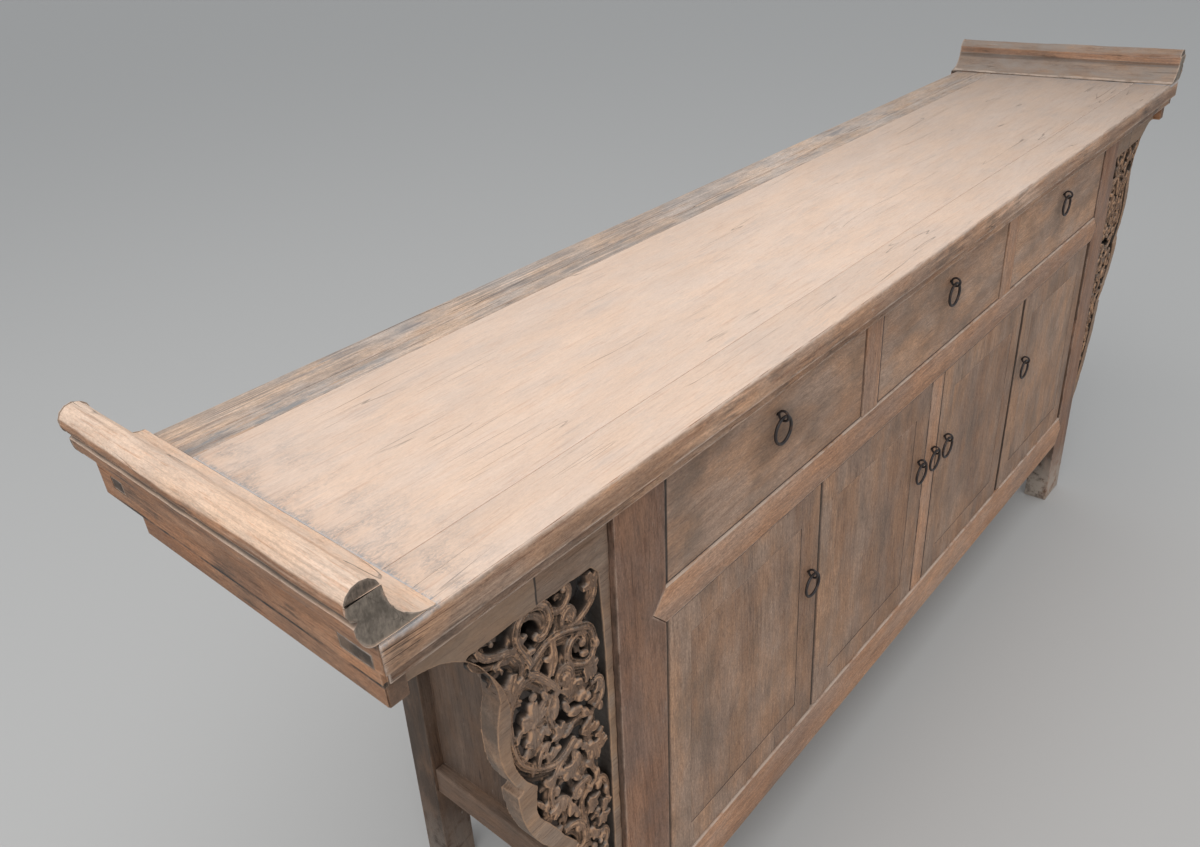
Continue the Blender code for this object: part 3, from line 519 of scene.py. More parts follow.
def soil_and_shade_flange(here, place, wood, colour, box):
    """Grey end grain on the flange's ends, dark over the cap, painted shade in the neck under its roll, and
    the right flange painted darker as shade.
    """
    mottle = wood["Mottle"]
    # Painted shade: the right flange, at the far end, is darker all over
    if box[1][0] > 0:
        colour = tint(mottle.ramp(0.30, 0.70), FAR_FLANGE_SHADE, grain_of(place, "carved")["Color"])
    outside = abs(here.part("X")).ramp(0.995, 1.008)
    colour = tint(facing(here, "Z", 0.45, 0.1, 1) * outside, colour, grain_of(place, "edge")["Color"])
    # Painted shade in the neck under the roll
    colour = tint(near(here, "Z", NECK, 5 * MM) * outside * 0.8, colour, DIRT_AND_SHADE)
    lines = place.cloud((3.5, 330.0), 3.0, 0.6).ramp(0.55, 0.62) * mottle.ramp(0.36, 0.52)
    colour = tint(lines * 0.24, colour, ROLL_LINES)
    blend = mottle * 0.6 + here.cloud((420.0, 420.0, 120.0), 5.0, 0.7) * 0.4
    grey = tint(blend.ramp(0.38, 0.60), *FLANGE_ENDS)
    brown = tint(blend.ramp(0.40, 0.56), *ROLL_ENDS)
    ends = tint(here.part("Z").ramp(CAP_TOP, CAP_TOP + MM), grey, brown)
    return tint(facing(here, "Y", 0.75, 0.92), colour, ends)


def soil_and_shade_leg(here, place, wood, colour, box):
    """Old dirt and painted shade on the sides of the legs, where they stand proud, painted shade behind the
    spandrels, and dust on their feet.
    """
    sides = facing(here, "X", 0.8, 0.95) * wood["Mottle"].ramp(0.30, 0.55)
    # Painted shade on the parts of the legs behind the spandrels
    depth = here.part("Y") - CARVING_FRONT
    behind = depth.ramp(0.0, 12 * MM) * depth.ramp(0.2, 0.1)
    colour = tint(highest(sides * 0.7, behind * 0.9), colour, LEG_DIRT_AND_SHADE)
    dust = here.part("Z").ramp(0.16, 0.02) * here.cloud((34.0,), 5.0, 0.7).ramp(0.34, 0.54)
    amount = 0.8 if box[0][1] < 0 else 0.3
    return tint(dust * amount, colour, FOOT_DUST)


def shade_gaps(here, place, wood, colour, box):
    """Painted shade on the sides that close against the frame, darkest towards the front."""
    sides = highest(facing(here, "X", 0.3, 0.65), facing(here, "Z", 0.3, 0.65))
    front = here.part("Y").ramp(box[0][1] + 14 * MM, box[0][1])
    return tint(sides * (front * 0.35 + 0.5), colour, DIRT_AND_SHADE)


def soil_pull(here, wood, colour, centre):
    """A dark, patchy halo of old hand marks round a pull."""
    away = here.vector("DISTANCE", centre, out="Value")
    halo = away.ramp(75 * MM, 15 * MM) * wood["Mottle"].ramp(0.34, 0.60)
    return tint(halo * 0.42, colour, HAND_MARKS)


def soil_and_shade_drawer(here, place, wood, colour, box):
    """Painted shade in the gaps round a drawer front, widest beside its left end and along its foot, and hand
    marks round its pull. The outermost ends lean.
    """
    (left, front, foot), (right, _, head) = box
    along = here.part("X")
    rise = (here.part("Z") - foot) * SPLAY
    # Painted shade of the gaps along the drawer's foot and ends
    line = near(here, "Z", foot, 3.4 * MM)
    for end, way, width in ((left, -1, 5.0 * MM), (right, 1, 2.6 * MM)):
        leans = way * end > LEG_AT_TOP / 2
        level = along + rise * way if leans else along
        line = highest(line, abs(level - end).ramp(width, width * 0.55))
    colour = soil_pull(here, wood, colour, ((left + right) / 2, front, (foot + head) / 2))
    colour = shade_gaps(here, place, wood, colour, box)
    return tint(line * 0.95, colour, DIRT_AND_SHADE)


def dust_and_highlight_rail(here, place, wood, colour, box):
    """Pale lines along the upper and lower arrises of a front rail: worn dust and a painted highlight."""
    line = highest(near(here, "Z", box[1][2], 2.2 * MM), near(here, "Z", box[0][2], 2.0 * MM))
    patches = here.cloud((24.0,), 3.0, 0.6).ramp(0.36, 0.56)
    # Painted highlight and worn dust on the rail's arrises
    return tint(line * patches * 0.8, colour, RAIL_DUST_AND_HIGHLIGHT)


def shade_side(here, place, wood, colour, box):
    """Painted shade on the side panels, darkest behind the spandrels."""
    depth = here.part("Y").ramp(CARVING_FRONT + 0.30, CARVING_FRONT + 0.13)
    return tint(depth * 0.86, colour, SIDE_SHADE)


def stain_and_shade_carving(here, place, wood, colour, box):
    """Carving: orange arrises, flanks painted dark as shade, dust, and hollows painted near-black as shade and
    old dirt.
    """
    depth = here.part("Y") - CARVING_FRONT
    colour = tint(worn_arris(here, 95.0) * 0.9, colour, CARVED_ARRIS)
    # Painted shade on the flanks that turn away from the front
    colour = tint(facing(here, "Y", 0.48, 0.08, -1) * 0.6, colour, CARVED_FLANK_SHADE)
    dusty = facing(here, "Z", 0.35, 0.75, 1) * here.cloud((140.0,), 4.0, 0.65).ramp(0.40, 0.58)
    colour = tint(dusty * depth.ramp(9 * MM, 3 * MM) * 0.5, colour, CARVING_DUST)
    # Painted shade in the deep parts and hollows
    deep = highest(depth.ramp(3.5 * MM, 11 * MM), hollows(here, 7 * MM))
    return tint(deep * 0.93, colour, CARVING_DEPTH_SHADE)


def stain_and_shade_border(here, place, wood, colour, box):
    """Border of the carving: walls round the field painted black as shade, flanks darkened with dirt and
    painted shade, and the seam in its strip.
    """
    side = 1 if box[1][0] > 0 else -1
    # Painted shade on the walls round the field
    wall = put(here.tree, "Attribute", attribute_name=FIELD_WALL, out="Fac")
    deep = here.part("Y").ramp(CARVING_FRONT + 1.2 * MM, CARVING_FRONT + 4 * MM)
    colour = tint(wall * deep * 0.96, colour, BORDER_WALL_SHADE)
    # Patchy dirt and painted shade on the flanks
    flank = facing(here, "Y", 0.5, 0.1) * wood["Mottle"].ramp(0.32, 0.56)
    colour = tint(flank * 0.62, colour, BORDER_FLANK_DIRT_AND_SHADE)
    colour = tint(worn_arris(here, 60.0) * 0.75, colour, BORDER_ARRIS)
    strip = (TOP_UNDER - here.part("Z")).ramp(54 * MM, 50 * MM)
    first_board = (here.part("X") * side).math("GREATER_THAN", STRIP_SEAM)
    colour = tint(first_board * strip * 0.2, colour, FIRST_BOARD)
    seam = near(here, "X", side * STRIP_SEAM, 1.6 * MM) * strip
    return tint(seam * 0.85, colour, DIRT_AND_SHADE)


# Wood, grain direction and added soiling, painted shade and highlights of each board, by the start of its name
BOARDS = {
    "top_front_rail": ("top", "X", soil_and_shade_top),
    "top_main_board": ("top", "X", soil_and_shade_top),
    "top_strip": ("rear", "X", soil_strip),
    "top_rear_board": ("rear", "X", soil_and_shade_rear),
    "top_end": ("edge", "Y", soil_and_shade_end),
    "flange": ("roll", "Y", soil_and_shade_flange),
    "end_apron": ("edge", "Y", soil_and_shade_end),
    "spandrel": ("carved", "X", None),
    "leg_front": ("frame", "Z", soil_and_shade_leg),
    "leg_rear": ("side", "Z", soil_and_shade_leg),
    "drawer_rail": ("rail", "X", dust_and_highlight_rail),
    "bottom_rail": ("rail", "X", dust_and_highlight_rail),
    "rear_": ("side", "X", None),
    "side_rail": ("side", "Y", None),
    "side_panel": ("side", "Z", shade_side),
    "back_panel": ("inner", "X", None),
    "cupboard_floor": ("inner", "X", None),
    "dust_board": ("inner", "X", None),
    "divider": ("rail", "Z", None),
    "drawer_front": ("drawer", "X", soil_and_shade_drawer),
    "drawer_box": ("inner", "Y", None),
    "door_frame": ("door", "Z", shade_gaps),
    "door_panel": ("door", "Z", None),
    "centre_stile": ("rail", "Z", shade_gaps),
}


def dress(obj, material):
    obj.data.materials.clear()
    obj.data.materials.append(material)


IRON = make_iron()
MATERIAL_OF = {}
for seed, (node, obj) in enumerate(sorted(NODES.items())):
    start = next((start for start in BOARDS if node.startswith(start)), None)
    if start:
        kind, along, extra = BOARDS[start]
        MATERIAL_OF[node] = make_wood(node + "_wood", kind, along, seed + 1, extra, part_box(node))
    else:
        MATERIAL_OF[node] = IRON
    dress(obj, MATERIAL_OF[node])


# Modelling helpers

# Distance at which points are one, then the turn of a flat joint, of a sharp arris and of a smooth surface
MERGE = 0.00001
FLAT = math.radians(0.5)
SHARP = math.radians(30)
SMOOTH = math.radians(40)


def pick(obj):
    """Leaves one object selected and active."""
    bpy.ops.object.select_all(action="DESELECT")
    obj.select_set(True)
    bpy.context.view_layer.objects.active = obj


def edit(obj, kind="VERT"):
    pick(obj)
    bpy.ops.object.mode_set(mode="EDIT")
    bpy.ops.mesh.select_mode(type=kind)
    bpy.ops.mesh.select_all(action="SELECT")


def leave_edit():
    bpy.ops.object.mode_set(mode="OBJECT")


def select_where(piece, kind, test):
    """Goes into edit mode with only those points or faces of a piece selected that pass a test."""
    edit(piece, kind)
    bpy.ops.mesh.select_all(action="DESELECT")
    leave_edit()
    for part in piece.data.polygons if kind == "FACE" else piece.data.vertices:
        part.select = test(part)
    bpy.ops.object.mode_set(mode="EDIT")


def modify(piece, kind, **settings):
    """Adds a modifier to a piece and applies it."""
    pick(piece)
    modifier = piece.modifiers.new(kind.lower(), kind)
    for name, value in settings.items():
        setattr(modifier, name, value)
    bpy.ops.object.modifier_apply(modifier=modifier.name)


def link_new(name, data):
    """A new object in the scene."""
    obj = bpy.data.objects.new(name, data)
    bpy.context.collection.objects.link(obj)
    return obj


def remove(obj):
    bpy.data.objects.remove(obj, do_unlink=True)


def join_all(objects, name):
    bpy.ops.object.select_all(action="DESELECT")
    for obj in objects:
        obj.select_set(True)
    bpy.context.view_layer.objects.active = objects[0]
    bpy.ops.object.join()
    objects[0].name = name
    return objects[0]


def copy_of(node, name):
    """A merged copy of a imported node's mesh, with flat faces made whole."""
    obj = link_new(name, NODES[node].data.copy())
    pick(obj)
    bpy.ops.mesh.customdata_custom_splitnormals_clear()
    edit(obj)
    bpy.ops.mesh.remove_doubles(threshold=MERGE)
    bpy.ops.mesh.dissolve_limited(angle_limit=FLAT)
    bpy.ops.mesh.normals_make_consistent(inside=False)
    leave_edit()
    return obj


def stand_for(piece, node, material):
    """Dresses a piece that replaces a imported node, and lets it ride as the node does."""
    dress(piece, material)
    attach(piece, BODY_OF[node])
    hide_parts(node)


def guide(scale):
    """An empty whose size stretches a texture."""
    bpy.ops.object.select_all(action="DESELECT")
    bpy.ops.object.empty_add(location=(0, 0, 0))
    bpy.context.object.scale = scale
    return bpy.context.object


def clouds(name, size, depth=3, contrast=1.0, level=1.0):
    texture = bpy.data.textures.new(name, "CLOUDS")
    texture.noise_scale = size
    texture.noise_depth = depth
    texture.contrast = contrast
    texture.intensity = level
    texture.use_clamp = True
    return texture


DENTS = clouds("dents", 0.022, 4, 2.2, 1.15)
SWELLS = clouds("swells", 0.05, 2)
GRAIN_RIDGES = clouds("grain_ridges", 0.006, 2, 2.5, 1.1)
SPECKS = clouds("specks", 0.007, 3)
CHISEL = clouds("chisel", 0.004, 2)
HAMMER = clouds("hammer", 0.005, 2)


def push(piece, texture, depth, group="", along=None):
    """Presses a surface inwards by turns, by a texture that may be stretched along a guide."""
    modify(piece, "DISPLACE", texture=texture, strength=depth, mid_level=1.0, vertex_group=group,
           texture_coords="OBJECT" if along else "GLOBAL", texture_coords_object=along)


def slice_along(piece, axes, pitch, clear):
    """Cuts a board into short lengths, away from the edges that it has already."""
    edit(piece)
    for axis in axes:
        number = "XYZ".index(axis)
        normal = Vector((0, 0, 0))
        normal[number] = 1
        taken = [v.co[number] for v in piece.data.vertices]
        low, high = min(taken), max(taken)
        count = max(1, int((high - low) / pitch))
        for cut in range(1, count):
            place = low + (high - low) * cut / count
            if any(abs(place - edge) < clear for edge in taken):
                continue
            bpy.ops.mesh.select_all(action="SELECT")
            bpy.ops.mesh.bisect(plane_co=normal * place, plane_no=normal)
    leave_edit()


def keep_front(piece, limit):
    """Leaves only those of the selected edges that lie in front of a depth."""
    leave_edit()
    mesh = piece.data
    kept = [edge for edge in mesh.edges
            if edge.select and max(mesh.vertices[number].co.y for number in edge.vertices) < limit]
    for part in (mesh.vertices, mesh.edges, mesh.polygons):
        part.foreach_set("select", [False] * len(part))
    for edge in kept:
        edge.select = True
        for number in edge.vertices:
            mesh.vertices[number].select = True
    bpy.ops.object.mode_set(mode="EDIT")


def hold_in(piece, node):
    """Brings the few points that wear has pushed out of a piece's front back into its box."""
    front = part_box(node)[0][1]
    select_where(piece, "VERT", lambda vertex: vertex.co.y < front)
    bpy.ops.transform.resize(value=(1, 0, 1), center_override=(0, front, 0))
    leave_edit()


def weathered(node, axes, pitch, width, depth, limit=None):
    """A worn copy of a board: its arrises, or those in front of a limit, are rounded and dented by turns."""
    piece = copy_of(node, node + "_worn")
    slice_along(piece, axes, pitch, 2.5 * width)
    edit(piece, "EDGE")
    bpy.ops.mesh.select_all(action="DESELECT")
    bpy.ops.mesh.edges_select_sharp(sharpness=SHARP)
    if limit is not None:
        keep_front(piece, limit)
    bpy.ops.mesh.bevel(offset=width, segments=4, profile=0.62, clamp_overlap=True)
    bpy.ops.mesh.select_mode(type="VERT")
    bpy.ops.mesh.select_less()
    leave_edit()
    arris = piece.vertex_groups.new(name="arris")
    arris.add([v.index for v in piece.data.vertices if v.select], 1.0, "REPLACE")
    push(piece, DENTS, depth, "arris")
    hold_in(piece, node)
    pick(piece)
    bpy.ops.object.shade_smooth_by_angle(angle=SMOOTH)
    stand_for(piece, node, MATERIAL_OF[node])


# Carved spandrels

# Vines: half width in millimetres, then points as distance out from the leg and down from the top
VINES = [
    (3.2, [(171, 52), (167, 60), (159, 69), (148, 75), (137, 78), (127, 83)]),
    (2.5, [(171, 50), (161, 50), (154, 52), (154, 57)]),
    (4.0, [(152, 89), (142, 85), (130, 86), (122, 96), (119, 110), (124, 122), (132, 132), (138, 141)]),
    (4.4, [(110, 112), (115, 97), (122, 83), (125, 68), (118, 56), (103, 52), (89, 58), (83, 71), (84, 84),
           (93, 91), (102, 86)]),
    (3.5, [(82, 66), (77, 74), (67, 78), (57, 72), (54, 63), (60, 56), (65, 57)]),
    (4.0, [(69, 93), (62, 102), (48, 107), (34, 105), (23, 97), (19, 83), (21, 69)]),
    (3.2, [(68, 98), (67, 88), (60, 83), (53, 87), (52, 95), (58, 98)]),
    (4.5, [(114, 115), (101, 108), (84, 104), (66, 107), (48, 114), (32, 124), (25, 139), (26, 155),
           (36, 163), (49, 158), (59, 148), (62, 136), (59, 126), (49, 123), (40, 127), (40, 136)]),
    (4.4, [(90, 159), (97, 140), (110, 129), (122, 128), (133, 138), (140, 154), (142, 173), (140, 194),
           (135, 213), (122, 234), (105, 249), (87, 257), (70, 253), (60, 244)]),
    (3.2, [(115, 119), (104, 130), (94, 143), (84, 158), (77, 170)]),
    (3.8, [(56, 182), (58, 165), (63, 151), (71, 147), (77, 154), (74, 163), (67, 160)]),
    (4.2, [(79, 168), (91, 176), (92, 194), (86, 213), (78, 228)]),
    (2.8, [(113, 240), (111, 228), (106, 222), (101, 228), (105, 233)]),
    (2.5, [(136, 190), (132, 181), (124, 179), (118, 183)]),
    (3.8, [(77, 216), (67, 225), (54, 226), (43, 227), (33, 236)]),
    (3.5, [(35, 193), (22, 195), (18, 206), (22, 220), (32, 227)]),
    (4.0, [(58, 248), (77, 260), (91, 269), (98, 281), (100, 297), (97, 315)]),
    (3.5, [(61, 244), (62, 262), (63, 279), (61, 297), (53, 310), (45, 323)]),
    (3.2, [(44, 323), (48, 313), (57, 311), (67, 316), (65, 325), (57, 325)]),
    (2.9, [(54, 259), (45, 273), (41, 291), (38, 306), (33, 321), (34, 329)]),
    (4.0, [(52, 406), (53, 379), (57, 356), (54, 338), (39, 330), (25, 335), (17, 350), (17, 373)]),
    (3.8, [(87, 355), (73, 359), (62, 369), (58, 385), (64, 400), (72, 396)]),
    (3.2, [(95, 303), (83, 311), (76, 323), (74, 338)]),
    (3.8, [(58, 400), (54, 430), (42, 446), (26, 440), (20, 424), (28, 414), (36, 420)]),
    (3.5, [(54, 430), (46, 460), (34, 482), (22, 500), (17, 524), (16, 552)]),
    (3.0, [(42, 466), (30, 462), (18, 470), (18, 484)]),
]

# Leaves: foot out and down, heading in degrees from outwards to upwards, length, lobes
LEAVES = [
    (140, 134, 105, 33, 3), (147, 87, -104, 12, 1), (19, 82, 60, 26, 3), (80, 106, -86, 45, 1),
    (114, 214, 92, 28, 3), (112, 185, 88, 33, 5), (66, 186, 100, 24, 3), (42, 170, -150, 26, 4),
    (42, 258, 92, 22, 3), (33, 266, -165, 17, 2), (38, 276, -136, 30, 4), (62, 276, -28, 26, 3),
    (87, 308, -62, 26, 3), (121, 281, -124, 22, 1), (48, 347, -128, 25, 3), (25, 366, -112, 19, 2),
    (30, 384, -110, 22, 3), (88, 346, -10, 16, 2), (100, 245, 120, 20, 3), (78, 226, 60, 22, 3),
    (48, 440, -50, 17, 2), (38, 476, -38, 15, 2), (24, 502, -58, 15, 2), (40, 400, -100, 16, 3),
    (122, 83, 120, 16, 2), (30, 210, 150, 16, 2), (92, 268, -20, 18, 2), (70, 330, -80, 18, 2),
]

# Knobs: centre out and down, radius
KNOBS = [(102, 85, 4.6), (60, 92, 4.2), (43, 134, 5.0), (70, 157, 4.4), (106, 230, 3.0), (60, 321, 3.6),
         (154, 56, 3.2), (64, 58, 3.2), (35, 422, 3.4), (72, 391, 3.4), (116, 183, 3.0), (18, 487, 2.8)]

# Rounded bodies among the vines: centre out and down, length, width, heading of the length in degrees
BODIES = [
    (113, 168, 26, 13, 80), (111, 151, 10, 9, 0), (105, 176, 15, 7, -40), (116, 196, 28, 15, 100),
    (113, 181, 10, 9, 0), (84, 186, 30, 11, 100), (81, 169, 11, 10, 0), (66, 164, 20, 12, 110),
    (47, 200, 16, 15, 0), (39, 207, 11, 9, -20), (57, 212, 24, 13, 20), (44, 224, 15, 11, 60),
    (42, 240, 19, 9, -25), (31, 254, 15, 11, 0), (57, 257, 14, 12, 0), (41, 274, 16, 13, 0),
    (24, 285, 14, 12, 0), (49, 266, 11, 10, 0), (59, 276, 22, 9, 95), (77, 284, 17, 12, 80),
    (63, 297, 16, 10, 60), (57, 316, 21, 13, 100), (84, 316, 19, 12, 70), (75, 333, 17, 11, 100),
    (108, 300, 13, 9, 90), (24, 376, 18, 11, 100), (29, 391, 14, 10, 60), (33, 320, 17, 10, 100),
    (31, 338, 15, 11, 100), (45, 399, 18, 11, 80), (30, 418, 14, 10, 60), (40, 452, 14, 9, 90),
    (30, 481, 13, 8, 100), (22, 520, 13, 7, 90), (97, 160, 16, 8, 70), (126, 176, 18, 8, 85),
    (98, 204, 20, 9, 60), (126, 212, 16, 9, 120), (101, 222, 15, 10, 20), (70, 196, 20, 9, 70),
    (70, 228, 18, 9, -20), (88, 238, 16, 10, 10), (22, 232, 14, 9, 90), (28, 180, 16, 10, 80),
    (22, 150, 12, 8, 90), (50, 178, 14, 9, 40), (84, 272, 16, 9, 40), (104, 270, 15, 9, 60),
    (92, 292, 15, 10, 80), (44, 296, 15, 10, 40), (46, 330, 14, 10, 60), (66, 348, 15, 10, 80),
    (20, 356, 13, 9, 90), (44, 362, 16, 10, 90), (36, 374, 12, 9, 30), (66, 372, 14, 10, 60),
    (44, 422, 13, 9, 60), (58, 416, 13, 8, 80), (26, 440, 12, 8, 60), (50, 470, 13, 8, 80),
    (24, 462, 11, 8, 40), (38, 500, 12, 8, 80), (26, 536, 11, 7, 90), (132, 118, 12, 8, 60),
    (108, 98, 12, 8, 20), (40, 150, 14, 9, 30), (88, 122, 14, 8, 30),
]

# Edge of the pierced field, as distance out from the leg and down from the top, and which points are corners
FIELD = [
    (15, 580), (24, 560), (37, 530), (49, 500), (59, 470), (67, 440), (72, 405), (71, 384), (78, 373),
    (88, 358), (95, 343), (106, 323), (116, 306), (121, 292), (120, 268), (118, 258), (131, 239), (141, 217),
    (145, 197), (145, 179), (143, 164), (140, 146), (141, 131), (144, 117), (152, 98), (162, 79), (172, 63),
    (184, 50), (27, 56), (17, 68), (13, 167),
]
FIELD_CORNERS = {(15, 580), (71, 384), (120, 268), (118, 258), (184, 50), (27, 56), (17, 68)}

# Halves of the sections of a vine and a leaf, as shares of the half width, the heights of their middles, and
# how much wider the vines are than drawn
VINE_HALF_SECTION = [(1.0, -4.4), (1.0, -0.6), (0.95, -0.2), (0.84, 0.0), (0.71, -0.08), (0.62, -0.5),
                     (0.48, -0.5), (0.38, -0.08), (0.2, 0.1)]
LEAF_HALF_SECTION = [(1.0, -2.6), (1.0, -0.75), (0.9, -0.36), (0.66, -0.04), (0.36, 0.08), (0.12, -0.1)]
LEAF_MIDRIB = -0.28
VINE_CROWN = 0.15
VINE_SWELL = 1.22

# Levels of the vines, leaves and lumps against the front, in millimetres
VINE_LEVEL = -1.4
LEAF_LEVEL = -1.2
KNOB_LEVEL = -0.6
BODY_LEVEL = -0.5

# Steps of each stretch of a vine or a lobe, and degrees between the lobes of a leaf
STRIP_STEPS = 7
LOBE_TURN = 26

# Under layer of the carving: how far the drawing is moved out and down, its level, and the turn of its leaves
UNDER_SHIFT = (6.0, 10.0)
UNDER_LEVEL = -5.5
UNDER_TURN = 50

# Skin over the carving: size of its facets, share of triangles kept, depth of chisel marks and of the back
SKIN_FACET = 0.75 * MM
SKIN_KEPT = 0.26
CHISEL_DEPTH = 0.7 * MM
CARVING_BACK = 24 * MM

# Steps of each stretch of the field's edge, half the depth of its cutter, and how near to the edge a wall is
FIELD_STEPS = 8
CUTTER_REACH = 50 * MM
WALL_REACH = 3.0 * MM

# Skin of the border round the field: size of its facets, and depth of its dents and specks
BORDER_FACET = 1.7 * MM
BORDER_DENT = 1.2 * MM
BORDER_SPECK = 0.6 * MM


def section(name, half, middle):
    """A closed section to sweep along a vine or a leaf, made from its half and the height of its middle."""
    points = [(-x, y) for x, y in half] + [(0.0, middle)] + list(reversed(half))
    curve = bpy.data.curves.new(name, "CURVE")
    curve.dimensions = "2D"
    line = curve.splines.new("POLY")
    line.points.add(len(points) - 1)
    for point, (x, y) in zip(line.points, points):
        point.co = (x, y, 0.0, 1.0)
    line.use_cyclic_u = True
    return link_new(name, curve)


def sweep(points, radii, profile):
    """A strip of carving along smooth points of the drawing, as a mesh. All is given in millimetres."""
    curve = bpy.data.curves.new("strip", "CURVE")
    curve.dimensions = "3D"
    curve.twist_mode = "Z_UP"
    curve.bevel_mode = "OBJECT"
    curve.bevel_object = profile
    curve.use_fill_caps = True
    line = curve.splines.new("BEZIER")
    line.resolution_u = STRIP_STEPS
    line.bezier_points.add(len(points) - 1)
    for knot, point, radius in zip(line.bezier_points, points, radii):
        knot.co = Vector(point) * MM
        knot.radius = radius * MM
        knot.handle_left_type = knot.handle_right_type = "AUTO"
    pick(link_new("strip", curve))
    bpy.ops.object.convert(target="MESH")
    return bpy.context.object


def carve_vine(half_width, points, order, profile, front=VINE_LEVEL):
    """One vine, thinner at its ends, in the drawing: out along X, up along Y, depth along Z."""
    level = front - 1.3 * (order % 3)
    last = len(points) - 1
    radii = [half_width * VINE_SWELL * (0.62 if i in (0, last) else 1.0) for i in range(last + 1)]
    places = [(out, -drop, level + 0.8 * math.sin(1.7 * i + order)) for i, (out, drop) in enumerate(points)]
    return sweep(places, radii, profile)


def carve_leaf(foot, heading, length, lobes, profile, level=LEAF_LEVEL):
    """A leaf of curved lobes that fan out from its foot."""
    parts = []
    middle = (lobes - 1) / 2
    for lobe in range(lobes):
        off = lobe - middle
        turn = math.radians(heading + off * LOBE_TURN)
        reach = length * (1 - 0.17 * abs(off))
        ahead = Vector((math.cos(turn), math.sin(turn), 0))
        aside = Vector((-math.sin(turn), math.cos(turn), 0)) * (math.copysign(1, off) if off else 0.35)
        start = Vector((foot[0], -foot[1], level - 1.6))
        fat = reach * (0.21 if lobes > 1 else 0.14)
        bow = start + ahead * reach * 0.5 + aside * reach * 0.02 + Vector((0, 0, 1.9))
        tip = start + ahead * reach * 0.86 + aside * reach * 0.24 + Vector((0, 0, 0.6))
        parts.append(sweep([start, bow, tip], [fat * 0.55, fat * 1.1, fat * 0.72], profile))
    return parts


def carve_knob(out, drop, radius):
    """A round knob at the end of a vine."""
    centre = (out * MM, -drop * MM, (KNOB_LEVEL - radius * 0.55) * MM)
    bpy.ops.object.select_all(action="DESELECT")
    bpy.ops.mesh.primitive_uv_sphere_add(segments=14, ring_count=10, radius=radius * MM, location=centre)
    knob = bpy.context.object
    edit(knob)
    bpy.ops.transform.resize(value=(1.0, 1.0, 0.85), center_override=knob.location)
    leave_edit()
    bpy.ops.object.transform_apply(location=True, rotation=False, scale=False)
    return knob


def carve_body(out, drop, length, width, heading):
    """A rounded body that stands out among the vines."""
    half_depth = 0.42 * width
    bpy.ops.object.select_all(action="DESELECT")
    bpy.ops.mesh.primitive_uv_sphere_add(segments=22, ring_count=14, radius=MM)
    body = bpy.context.object
    edit(body)
    bpy.ops.transform.resize(value=(length / 2, width / 2, half_depth), center_override=(0, 0, 0))
    bpy.ops.transform.rotate(value=-math.radians(heading), orient_axis="Z", center_override=(0, 0, 0))
    bpy.ops.transform.translate(value=(out * MM, -drop * MM, (BODY_LEVEL - half_depth) * MM))
    leave_edit()
    return body


def carve_under_layer(profile):
    """Deeper stems and leaves, seen between the vines: the same drawing, moved aside."""
    aside, below = UNDER_SHIFT
    parts = []
    for order, (width, points) in enumerate(VINES):
        moved = [(out + aside, drop + below) for out, drop in points]
        parts.append(carve_vine(width, moved, order, profile, UNDER_LEVEL))
    for out, drop, heading, length, lobes in LEAVES:
        foot = (out + aside, drop + below)
        parts += carve_leaf(foot, heading + UNDER_TURN, length, lobes, profile, UNDER_LEVEL)
    return parts


def keep_largest(piece):
    """Leaves only the largest of a mesh's loose parts."""
    edit(piece)
    bpy.ops.mesh.separate(type="LOOSE")
    leave_edit()
    parts = list(bpy.context.selected_objects)
    largest = max(parts, key=lambda part: len(part.data.vertices))
    for part in parts:
        if part is not largest:
            remove(part)
    return largest


def fuse(piece):
    """Puts one chiselled skin over all the strips and bodies, as if they were cut from one board."""
    modify(piece, "REMESH", mode="VOXEL", voxel_size=SKIN_FACET)
    modify(piece, "SMOOTH", factor=0.5, iterations=1)
    push(piece, CHISEL, CHISEL_DEPTH)
    edit(piece)
    back = (0, 0, -CARVING_BACK)
    bpy.ops.mesh.bisect(plane_co=back, plane_no=(0, 0, 1), use_fill=True, clear_inner=True)
    leave_edit()
    modify(piece, "DECIMATE", ratio=SKIN_KEPT)
    return keep_largest(piece)


def make_vines():
    """All the carving of one spandrel in its flat drawing."""
    vine_section = section("vine_section", VINE_HALF_SECTION, VINE_CROWN)
    leaf_section = section("leaf_section", LEAF_HALF_SECTION, LEAF_MIDRIB)
    parts = [carve_vine(width, points, order, vine_section) for order, (width, points) in enumerate(VINES)]
    for out, drop, heading, length, lobes in LEAVES:
        parts += carve_leaf((out, drop), heading, length, lobes, leaf_section)
    parts += [carve_body(*body) for body in BODIES]
    parts += [carve_knob(*knob) for knob in KNOBS]
    parts += carve_under_layer(leaf_section)
    vines = join_all(parts, "spandrel_vines")
    remove(vine_section)
    remove(leaf_section)
    return fuse(vines)


def stand_up(drawn, side):
    """Stands a flat drawing in its spandrel: out from the leaning leg, down from the top, into the depth."""
    matrix = Matrix(((side, -side * SPLAY, 0, side * LEG_AT_TOP),
                     (0, 0, -1, CARVING_FRONT),
                     (0, 1, 0, TOP_UNDER),
                     (0, 0, 0, 1)))
    drawn.data.transform(matrix)
    edit(drawn)
    bpy.ops.mesh.normals_make_consistent(inside=False)
    leave_edit()


